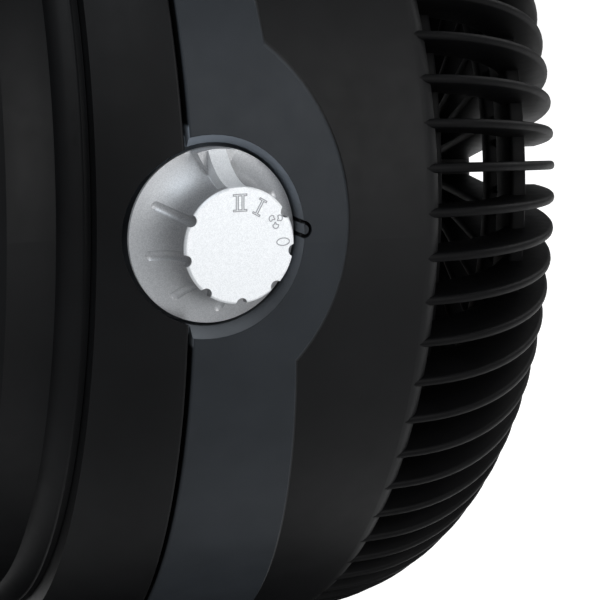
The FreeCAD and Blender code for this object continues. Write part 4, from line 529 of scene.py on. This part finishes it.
# Painted shade on the neck, painted light toward the rim, and a painted lit face and rib top.
neck_painted_shade = silver.ramp(silver.cells(FLAKE), NECK_SHADE_LOW, NECK_SHADE_HIGH, FLAKE_SPAN)
rim_painted_light = silver.ramp(silver.cells(FLAKE), RIM_LIGHT_LOW, RIM_LIGHT_HIGH, FLAKE_SPAN)
face_painted_light = silver.ramp(silver.cells(FLAKE), FACE_LIGHT_LOW, FACE_LIGHT_HIGH, FLAKE_SPAN)
skirt_painted_shade = silver.mix(silver.step(lift, *SKIRT_SHADE_FADE), neck_painted_shade, rim_painted_light)
off_rib = silver.sum("ABSOLUTE", silver.along(on_dial(RIB_ANGLE + 90), KNOB_CENTRE))
on_rib = silver.every(
    silver.step(off_rib, *RIB_SIDE),
    silver.step(silver.along(UP, KNOB_CENTRE), *RIB_ABOVE),
    silver.step(lift, *RIB_FOOT),
)
painted_light_mask = silver.either(silver.step(lift, *FACE_EDGE), on_rib)
silver.drive("Base Color", silver.mix(painted_light_mask, skirt_painted_shade, face_painted_light))
silver.gloss(silver.noise(grain=2.2), low=0.42, high=0.52)
silver.bump(silver.noise(grain=0.25, detail=2.0), height=0.006, strength=0.5)
dress(silver, "control_knob")

# %% [markdown]
# Inside pieces. They show a little between the fins and through the outlet, so each gets the finish it has in
# a real heater: plain black nylon, pale heat-proof plastic, zinc-plated steel with its spangle, a stack of
# core sheets, enamelled wire, flecked mica, heat-tinted ribbon and soft rubber.

# %% Plastics inside
nylon = Finish("black_nylon").set(Specular_IOR_Level=0.35)
nylon.colours(nylon.noise(grain=9), low=(0.010, 0.010, 0.011), high=(0.020, 0.020, 0.022))
nylon.gloss(nylon.noise(grain=2.0), low=0.38, high=0.55)
nylon.bump(nylon.noise(grain=0.5), height=0.012, strength=0.5)

pale = Finish("pale_heatproof_plastic").set(Specular_IOR_Level=0.4)
pale.colours(pale.noise(grain=6), low=(0.62, 0.60, 0.54), high=(0.72, 0.70, 0.65))
pale.gloss(pale.noise(grain=1.5), low=0.35, high=0.5)
pale.bump(pale.noise(grain=0.6), height=0.01, strength=0.4)

rubber = Finish("foot_rubber").set(Specular_IOR_Level=0.3)
rubber.colours(rubber.noise(grain=7), low=(0.012, 0.012, 0.012), high=(0.026, 0.026, 0.026))
rubber.gloss(rubber.noise(grain=1.2), low=0.7, high=0.9)
rubber.bump(rubber.noise(grain=0.7, detail=4.0), height=0.04, strength=0.7)
print("plastics:", [finish.material.name for finish in (nylon, pale, rubber)])

# %% Metals and mica inside
SHEET = 0.5
STRAND = 0.45

zinc = Finish("zinc_plated_steel").set(Metallic=1.0)
zinc.colours(zinc.cells(grain=5.0), low=(0.42, 0.43, 0.44), high=(0.60, 0.61, 0.62), span=(0.0, 1.0))
zinc.gloss(zinc.noise(grain=1.5, detail=4.0), low=0.28, high=0.46)
zinc.bump(zinc.noise(grain=0.8), height=0.006, strength=0.4)

core = Finish("stacked_core_sheets").set(Metallic=0.9)
core.colours(core.stripes(SHEET, "Y"), low=(0.10, 0.10, 0.11), high=(0.34, 0.34, 0.36), span=(0.2, 0.8))
core.gloss(core.noise(grain=1.0), low=0.4, high=0.6)
core.bump(core.stripes(SHEET, "Y"), height=0.05, strength=0.6)

wire = Finish("enamelled_wire").set(Metallic=0.6, Coat_Weight=0.3, Coat_Roughness=0.2)
wire.colours(wire.stripes(STRAND, "Z"), low=(0.20, 0.06, 0.02), high=(0.52, 0.20, 0.07), span=(0.1, 0.9))
wire.gloss(wire.noise(grain=0.8), low=0.25, high=0.4)
wire.bump(wire.stripes(STRAND, "Z"), height=0.1, strength=0.8)

mica = Finish("flecked_mica").set(Specular_IOR_Level=0.6)
mica.colours(mica.cells(grain=1.6), low=(0.34, 0.30, 0.22), high=(0.56, 0.52, 0.42), span=(0.0, 1.0))
mica.gloss(mica.noise(grain=3.0), low=0.2, high=0.45)
mica.bump(mica.noise(grain=2.0), height=0.02, strength=0.4)

ribbon = Finish("heat_tinted_ribbon").set(Metallic=1.0)
ribbon.colours(ribbon.noise(grain=7), low=(0.22, 0.20, 0.19), high=(0.44, 0.40, 0.36))
ribbon.gloss(ribbon.noise(grain=1.5), low=0.3, high=0.5)
ribbon.bump(ribbon.noise(grain=0.4), height=0.004, strength=0.4)

sensor = Finish("sensor_metal").set(Metallic=1.0)
sensor.colours(sensor.noise(grain=3), low=(0.46, 0.44, 0.40), high=(0.66, 0.64, 0.60))
sensor.gloss(sensor.noise(grain=1.0), low=0.22, high=0.4)
sensor.bump(sensor.noise(grain=0.3), height=0.004, strength=0.4)
print("metals and mica:", [finish.material.name for finish in (zinc, core, wire, mica, ribbon, sensor)])

# %% [markdown]
# Every other CAD node takes its finish from the slot that the record gives it, so nothing is left in a plain
# grey.

# %% Finishes by slot
BY_SLOT = {
    "dark_plastic": nylon,
    "pale_plastic": pale,
    "zinc_steel": zinc,
    "core_steel": core,
    "coil_copper": wire,
    "mica": mica,
    "ribbon_metal": ribbon,
    "sensor_metal": sensor,
    "pad_rubber": rubber,
}
slot_of = {part["node"]: part["material_slot"] for part in frame["record"]["subparts"]}
for slot, finish in BY_SLOT.items():
    dress(finish, *[name for name in nodes if slot_of[name] == slot])

# %% [markdown]
# The knob's signs. A real dial has a nought, a fan sign, one bar and two bars for its two heats, each moulded
# as a thin raised outline near the edge of the flat face. They are drawn flat at the origin, given a thin
# wall, and only then turned and moved on to the face, each with its top to the rim.

# %% Helpers for flat signs
KNOB_HEIGHT = 16.6 * MM
SIGN_LINE = 0.21 * MM
SIGN_HEIGHT = 0.07 * MM
SIGN_SUNK = 0.02 * MM

knob_axes = Matrix((KNOB_SIDE, UP, KNOB_OUT)).transposed().to_4x4()
knob_frame = Matrix.Translation(KNOB_CENTRE) @ knob_axes


def select_only(thing):
    """One piece is selected and active."""
    deselect_all()
    thing.select_set(True)
    bpy.context.view_layer.objects.active = thing


def pick(thing, kind, test):
    """Selects the vertices or faces of a mesh whose middle passes a test, and stays in edit mode."""
    select_only(thing)
    bpy.ops.object.mode_set(mode="EDIT")
    bpy.ops.mesh.select_mode(type="VERT" if kind == "vertices" else "FACE")
    bpy.ops.mesh.select_all(action="DESELECT")
    bpy.ops.object.mode_set(mode="OBJECT")
    for item in getattr(thing.data, kind):
        item.select = test(item.co if kind == "vertices" else item.center)
    bpy.ops.object.mode_set(mode="EDIT")


def copy_of(thing):
    """A copy with a mesh of its own."""
    copy = thing.copy()
    copy.data = thing.data.copy()
    bpy.context.scene.collection.objects.link(copy)
    return copy


def joined(pieces, name):
    """Pieces have their turns applied and become the last one's mesh."""
    select_only(pieces[-1])
    for piece in pieces:
        piece.select_set(True)
    bpy.ops.object.transform_apply(location=True, rotation=True, scale=True)
    bpy.ops.object.join()
    whole = bpy.context.active_object
    whole.name = name
    return whole


def outline(thing):
    """A flat sign keeps a thin rim of its face, which then gets a wall."""
    pick(thing, "polygons", lambda middle: True)
    bpy.ops.mesh.inset(thickness=SIGN_LINE, depth=0, use_even_offset=True)
    bpy.ops.mesh.delete(type="FACE")
    bpy.ops.object.mode_set(mode="OBJECT")
    wall_maker = thing.modifiers.new("wall", "SOLIDIFY")
    wall_maker.thickness = SIGN_HEIGHT + SIGN_SUNK
    wall_maker.offset = 1.0
    bpy.ops.object.modifier_apply(modifier=wall_maker.name)


def on_face(thing, angle, radius):
    """A sign goes on the knob's face with its top to the rim."""
    spin = Matrix.Rotation(math.radians(angle - 90.0), 4, "Z")
    spot = Matrix.Rotation(math.radians(angle), 4, "Z") @ Vector((radius, 0, KNOB_HEIGHT - SIGN_SUNK))
    thing.matrix_world = knob_frame @ Matrix.Translation(spot) @ spin
    select_only(thing)
    bpy.ops.object.transform_apply(location=True, rotation=True, scale=True)


print("knob's face is over its centre by, mm:", in_mm([KNOB_HEIGHT]))

# %% One bar and two bars
BAR_WIDTH = 0.66 * MM
BAR_HEIGHT = 3.9 * MM
FOOT_HEIGHT = 0.55 * MM


def bars(name, count):
    """Upright bars with a foot and a head across them: a grid whose empty squares are taken out."""
    columns = 2 * count + 1
    deselect_all()
    bpy.ops.mesh.primitive_grid_add(x_subdivisions=columns, y_subdivisions=3, size=1)
    thing = bpy.context.active_object
    thing.name = name
    thing.scale = (columns * BAR_WIDTH, BAR_HEIGHT, 1)
    bpy.ops.object.transform_apply(location=False, rotation=False, scale=True)
    half_row = BAR_HEIGHT / 6
    shift = BAR_HEIGHT / 3 - FOOT_HEIGHT
    for side in (1, -1):
        pick(thing, "vertices", lambda spot: abs(spot.y - side * half_row) < half_row / 4)
        bpy.ops.transform.translate(value=(0, side * shift, 0))
        bpy.ops.object.mode_set(mode="OBJECT")
    edge = columns * BAR_WIDTH / 2
    pick(thing, "polygons",
         lambda middle: abs(middle.y) < half_row and int((middle.x + edge) / BAR_WIDTH) % 2 == 0)
    bpy.ops.mesh.delete(type="FACE")
    bpy.ops.object.mode_set(mode="OBJECT")
    outline(thing)
    return thing


one_bar = bars("sign_one_bar", 1)
two_bars = bars("sign_two_bars", 2)
print("bars:", len(one_bar.data.polygons), "and", len(two_bars.data.polygons), "faces")

# %% Nought
NOUGHT_SIDES = 40
NOUGHT_HALF_WIDTH = 0.92
NOUGHT_HALF_HEIGHT = 1.6

deselect_all()
bpy.ops.mesh.primitive_circle_add(vertices=NOUGHT_SIDES, radius=1 * MM, fill_type="NGON")
nought = bpy.context.active_object
nought.name = "sign_nought"
nought.scale = (NOUGHT_HALF_WIDTH, NOUGHT_HALF_HEIGHT, 1)
bpy.ops.object.transform_apply(location=False, rotation=False, scale=True)
outline(nought)
print("nought:", len(nought.data.polygons), "faces")

# %% Fan sign
BLADES = 3
BLADE_SIDES = 28
BLADE_RADIUS = 0.78 * MM
BLADE_REACH = 1.02 * MM
ROOT_BELOW = 0.75 * MM
ROOT_WIDTH = 0.45
ROOT_SPOT = (0.28 * MM, 0.4 * MM, 0)

deselect_all()
bpy.ops.mesh.primitive_circle_add(vertices=BLADE_SIDES, radius=BLADE_RADIUS, location=(0, BLADE_REACH, 0),
                                  fill_type="NGON")
blade = bpy.context.active_object
bpy.ops.object.transform_apply(location=True, rotation=False, scale=False)
pick(blade, "vertices", lambda spot: spot.y < ROOT_BELOW)
bpy.ops.transform.resize(value=(ROOT_WIDTH, 1, 1), center_override=ROOT_SPOT)
bpy.ops.object.mode_set(mode="OBJECT")
outline(blade)
turned = [copy_of(blade) for count in range(1, BLADES)]
for count, copy in enumerate(turned, start=1):
    copy.rotation_euler = (0, 0, math.radians(360.0 / BLADES * count))
fan_sign = joined([*turned, blade], "sign_fan")
print("fan sign:", len(fan_sign.data.polygons), "faces")

# %% Signs on the face
# Each sign's angle on the face in degrees, and its distance from the middle
SIGN_PLACES = (
    (nought, 2.4, 10.1 * MM),
    (fan_sign, 31.6, 9.7 * MM),
    (one_bar, 61.6, 9.3 * MM),
    (two_bars, 91.0, 9.3 * MM),
)

# The signs' grey is partly their own darker print and partly painted shade, standing in for the shade of
# engraved lines that a thin raised silver outline doesn't cast.
sign_grey = Finish("sign_grey").set(Metallic=0.2)
sign_grey.colours(sign_grey.noise(grain=0.5), low=(0.30, 0.31, 0.33), high=(0.42, 0.43, 0.45))
sign_grey.gloss(sign_grey.noise(grain=0.6), low=0.4, high=0.55)
for thing, angle, radius in SIGN_PLACES:
    on_face(thing, angle, radius)
    thing.data.materials.append(sign_grey.material)
    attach(thing, "knob")
    print(thing.name, "at, mm:", in_mm(thing.data.vertices[0].co))

# %% [markdown]
# The rear cage. The CAD model has every fin, but with sharp edges. A real fin is moulded with a round outer
# edge that runs out of the shell's own surface and draws a soft light line round the dome. One fin is
# modelled flat, at the height of the body's axis: an edge as long as the fin is deep is spun about the middle
# of each bend of the dome, so the fin keeps its depth all the way. Its front end hides in the shell's rolled
# lip.

# %% The line of one fin
FIN_DEPTH = 12.0 * MM
FIN_TAB = 2.0 * MM
FIN_START = Vector((119.26, 47.0)) * MM
FIN_HEADING = math.radians(4.27)
# Radius in mm, turn in degrees and steps of each bend: the shell's own curve, then the dome's side, its
# corner and its back
FIN_BENDS = ((750.0, 1.10, 2), (51.3, 29.6, 8), (49.5, 25.8, 7), (60.0, 26.4, 7))


def heading_way(heading):
    """The direction across a fin's line, out of the cage, in the fin's own plane."""
    return Vector((math.cos(heading), math.sin(heading)))


def fin_strip(name):
    """The flat short fin, where its outer line ends and its heading there. Spin turns clockwise."""
    deselect_all()
    bpy.ops.mesh.primitive_plane_add(size=FIN_DEPTH)
    strip = bpy.context.active_object
    strip.name = name
    strip.scale = (1, FIN_TAB / FIN_DEPTH, 1)
    middle = FIN_START - Vector((FIN_DEPTH, FIN_TAB)) / 2
    strip.location = SEAM_CENTRE + middle.to_3d()
    bpy.ops.object.transform_apply(location=True, rotation=True, scale=True)
    pick(strip, "vertices", lambda spot: spot.y > SEAM_CENTRE.y + middle.y)
    end = FIN_START.copy()
    heading = FIN_HEADING
    for radius, turn, steps in FIN_BENDS:
        centre = end - heading_way(heading) * radius * MM
        bpy.ops.mesh.spin(steps=steps, angle=-math.radians(turn), axis=UP,
                          center=SEAM_CENTRE + centre.to_3d())
        heading += math.radians(turn)
        end = centre + heading_way(heading) * radius * MM
    bpy.ops.object.mode_set(mode="OBJECT")
    return strip, end, heading


short_fin, fin_end, fin_heading = fin_strip("short_fin")
print("fin's line ends at, mm:", in_mm(fin_end), "heading", round(math.degrees(fin_heading), 1))

# %% [markdown]
# Every second fin goes on to the hub: the same strip, with its last edge extruded straight along the back.
# The strip's first edge lay square to the body's axis, so its last edge has turned by the bends alone. Both
# fins then get their thickness, and are copied round the axis, half a pitch apart.

# %% Long fin and thickness
HUB_REACH = 14.0 * MM
FIN_THICK = 2.2 * MM
FIN_ROUND = 0.95 * MM
EDGE_ANGLE = math.radians(50)
TOUCH = 0.1 * MM


def rounded_edges(thing, width, segments):
    """A bevel on every sharp edge."""
    bevel = thing.modifiers.new("rounded", "BEVEL")
    bevel.width = width
    bevel.segments = segments
    bevel.limit_method = "ANGLE"
    bevel.angle_limit = EDGE_ANGLE
    bpy.ops.object.modifier_apply(modifier=bevel.name)


def thicken(fin):
    """A flat fin gets its thickness and round edges."""
    select_only(fin)
    thickness = fin.modifiers.new("thickness", "SOLIDIFY")
    thickness.thickness = FIN_THICK
    thickness.offset = 0.0
    bpy.ops.object.modifier_apply(modifier=thickness.name)
    rounded_edges(fin, FIN_ROUND, segments=3)


long_fin = copy_of(short_fin)
long_fin.name = "long_fin"
outer_end = SEAM_CENTRE.xy + fin_end
inner_end = outer_end - heading_way(fin_heading - FIN_HEADING) * FIN_DEPTH
pick(long_fin, "vertices",
     lambda spot: min((spot.xy - outer_end).length, (spot.xy - inner_end).length) < TOUCH)
run = (fin_end.x - HUB_REACH) / math.sin(fin_heading)
bpy.ops.mesh.extrude_region_move(TRANSFORM_OT_translate={
    "value": (-math.sin(fin_heading) * run, math.cos(fin_heading) * run, 0)})
bpy.ops.object.mode_set(mode="OBJECT")
for fin in (short_fin, long_fin):
    thicken(fin)
print("faces of a short and a long fin:", len(short_fin.data.polygons), len(long_fin.data.polygons))

# %% Copies round the axis
FIN_PAIRS = 36
LONG_FIRST = 7.5
SHORT_FIRST = 2.5

to_axis = Matrix.Translation((0, 0, SEAM_CENTRE.z))
cage_pieces = []
for fin, first in ((long_fin, LONG_FIRST), (short_fin, SHORT_FIRST)):
    for index in range(FIN_PAIRS):
        copy = copy_of(fin)
        turn = Matrix.Rotation(-math.radians(first + 360.0 / FIN_PAIRS * index), 4, "Y")
        copy.matrix_world = to_axis @ turn @ to_axis.inverted()
        cage_pieces.append(copy)
    bpy.data.objects.remove(fin)
print("fins:", len(cage_pieces))

# %% [markdown]
# Three rings, four posts and a hub tie the fins together from inside. Each ring is the outline of a small
# rounded plate, spun once round the axis. A post is a short cylinder with rounded ends that takes a screw.
# The hub is a wider one, whose back is inset and pushed out a little.

# %% Rings of the cage
# Inner and outer radius, front and rear behind the seam, in mm
RINGS = {
    "seat": (104.0, 107.5, 47.4, 65.4),
    "hoop": (84.2, 93.2, 89.2, 93.2),
    "back": (63.5, 67.5, 94.5, 98.5),
}
RING_ROUND = 0.8 * MM
RING_STEPS = 144
SAME_SPOT = 0.01 * MM


def spun_ring(name, low, high, front, rear):
    """A ring about the body's axis from its section in mm, with rounded edges."""
    deselect_all()
    bpy.ops.mesh.primitive_plane_add(size=1)
    ring = bpy.context.active_object
    ring.name = name
    ring.scale = ((high - low) * MM, (rear - front) * MM, 1)
    ring.location = SEAM_CENTRE + (SIDE * (low + high) + REAR * (front + rear)) / 2 * MM
    bpy.ops.object.transform_apply(location=True, rotation=True, scale=True)
    pick(ring, "vertices", lambda spot: True)
    bpy.ops.mesh.bevel(offset=RING_ROUND, segments=3, affect="VERTICES")
    bpy.ops.mesh.select_all(action="SELECT")
    bpy.ops.mesh.delete(type="ONLY_FACE")
    bpy.ops.mesh.select_all(action="SELECT")
    bpy.ops.mesh.spin(steps=RING_STEPS, angle=2 * math.pi, axis=REAR, center=(0, 0, SEAM_CENTRE.z))
    bpy.ops.mesh.select_all(action="SELECT")
    bpy.ops.mesh.remove_doubles(threshold=SAME_SPOT)
    bpy.ops.mesh.normals_make_consistent(inside=False)
    bpy.ops.object.mode_set(mode="OBJECT")
    return ring


for name, section in RINGS.items():
    cage_pieces.append(spun_ring(name, *section))
print("rings:", list(RINGS))

# %% Posts and hub of the cage
BAR_SIDES = 64
POST_RADIUS = 4.0
POST_FRONT, POST_REAR = 45.4, 63.4
POST_ROUND = 0.5
POST_CIRCLE = 103.0
POST_TURNS = (0, 90, 180, 270)
HUB_RADIUS = 18.0
HUB_FRONT, HUB_REAR = 97.0, 112.0
HUB_ROUND = 3.6
HUB_RIM = 6 * MM
HUB_CROWN = 0.6 * MM


def round_bar(name, radius, front, rear, edge, across=0.0, up=0.0):
    """A short bar along the body's axis, in mm, with rounded ends."""
    deselect_all()
    bpy.ops.mesh.primitive_cylinder_add(vertices=BAR_SIDES, radius=radius * MM, depth=(rear - front) * MM,
                                        rotation=(math.radians(-90), 0, 0))
    bar = bpy.context.active_object
    bar.name = name
    bar.location = SEAM_CENTRE + Vector((across, (front + rear) / 2, up)) * MM
    bpy.ops.object.transform_apply(location=True, rotation=True, scale=True)
    rounded_edges(bar, edge * MM, segments=4)
    return bar


for angle in POST_TURNS:
    turn = math.radians(angle)
    cage_pieces.append(round_bar("cage_post", POST_RADIUS, POST_FRONT, POST_REAR, POST_ROUND,
                                 POST_CIRCLE * math.cos(turn), POST_CIRCLE * math.sin(turn)))

hub = round_bar("cage_hub", HUB_RADIUS, HUB_FRONT, HUB_REAR, HUB_ROUND)
pick(hub, "polygons", lambda middle: middle.y > SEAM_CENTRE.y + HUB_REAR * MM - TOUCH)
bpy.ops.mesh.inset(thickness=HUB_RIM, depth=0)
bpy.ops.transform.translate(value=(0, HUB_CROWN, 0))
bpy.ops.object.mode_set(mode="OBJECT")
cage_pieces.append(hub)
print("posts:", len(POST_TURNS), "faces of the hub:", len(hub.data.polygons))

# %% One cage in place of the sharp one
SMOOTH_ANGLE = math.radians(40)

cage = joined(cage_pieces, "rear_cage")
cage.data.materials.clear()
cage.data.materials.append(grille_black.material)
bpy.ops.object.shade_smooth_by_angle(angle=SMOOTH_ANGLE)
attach(cage, "heater")
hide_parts("rear_grille")
print("cage:", len(cage.data.polygons), "faces")
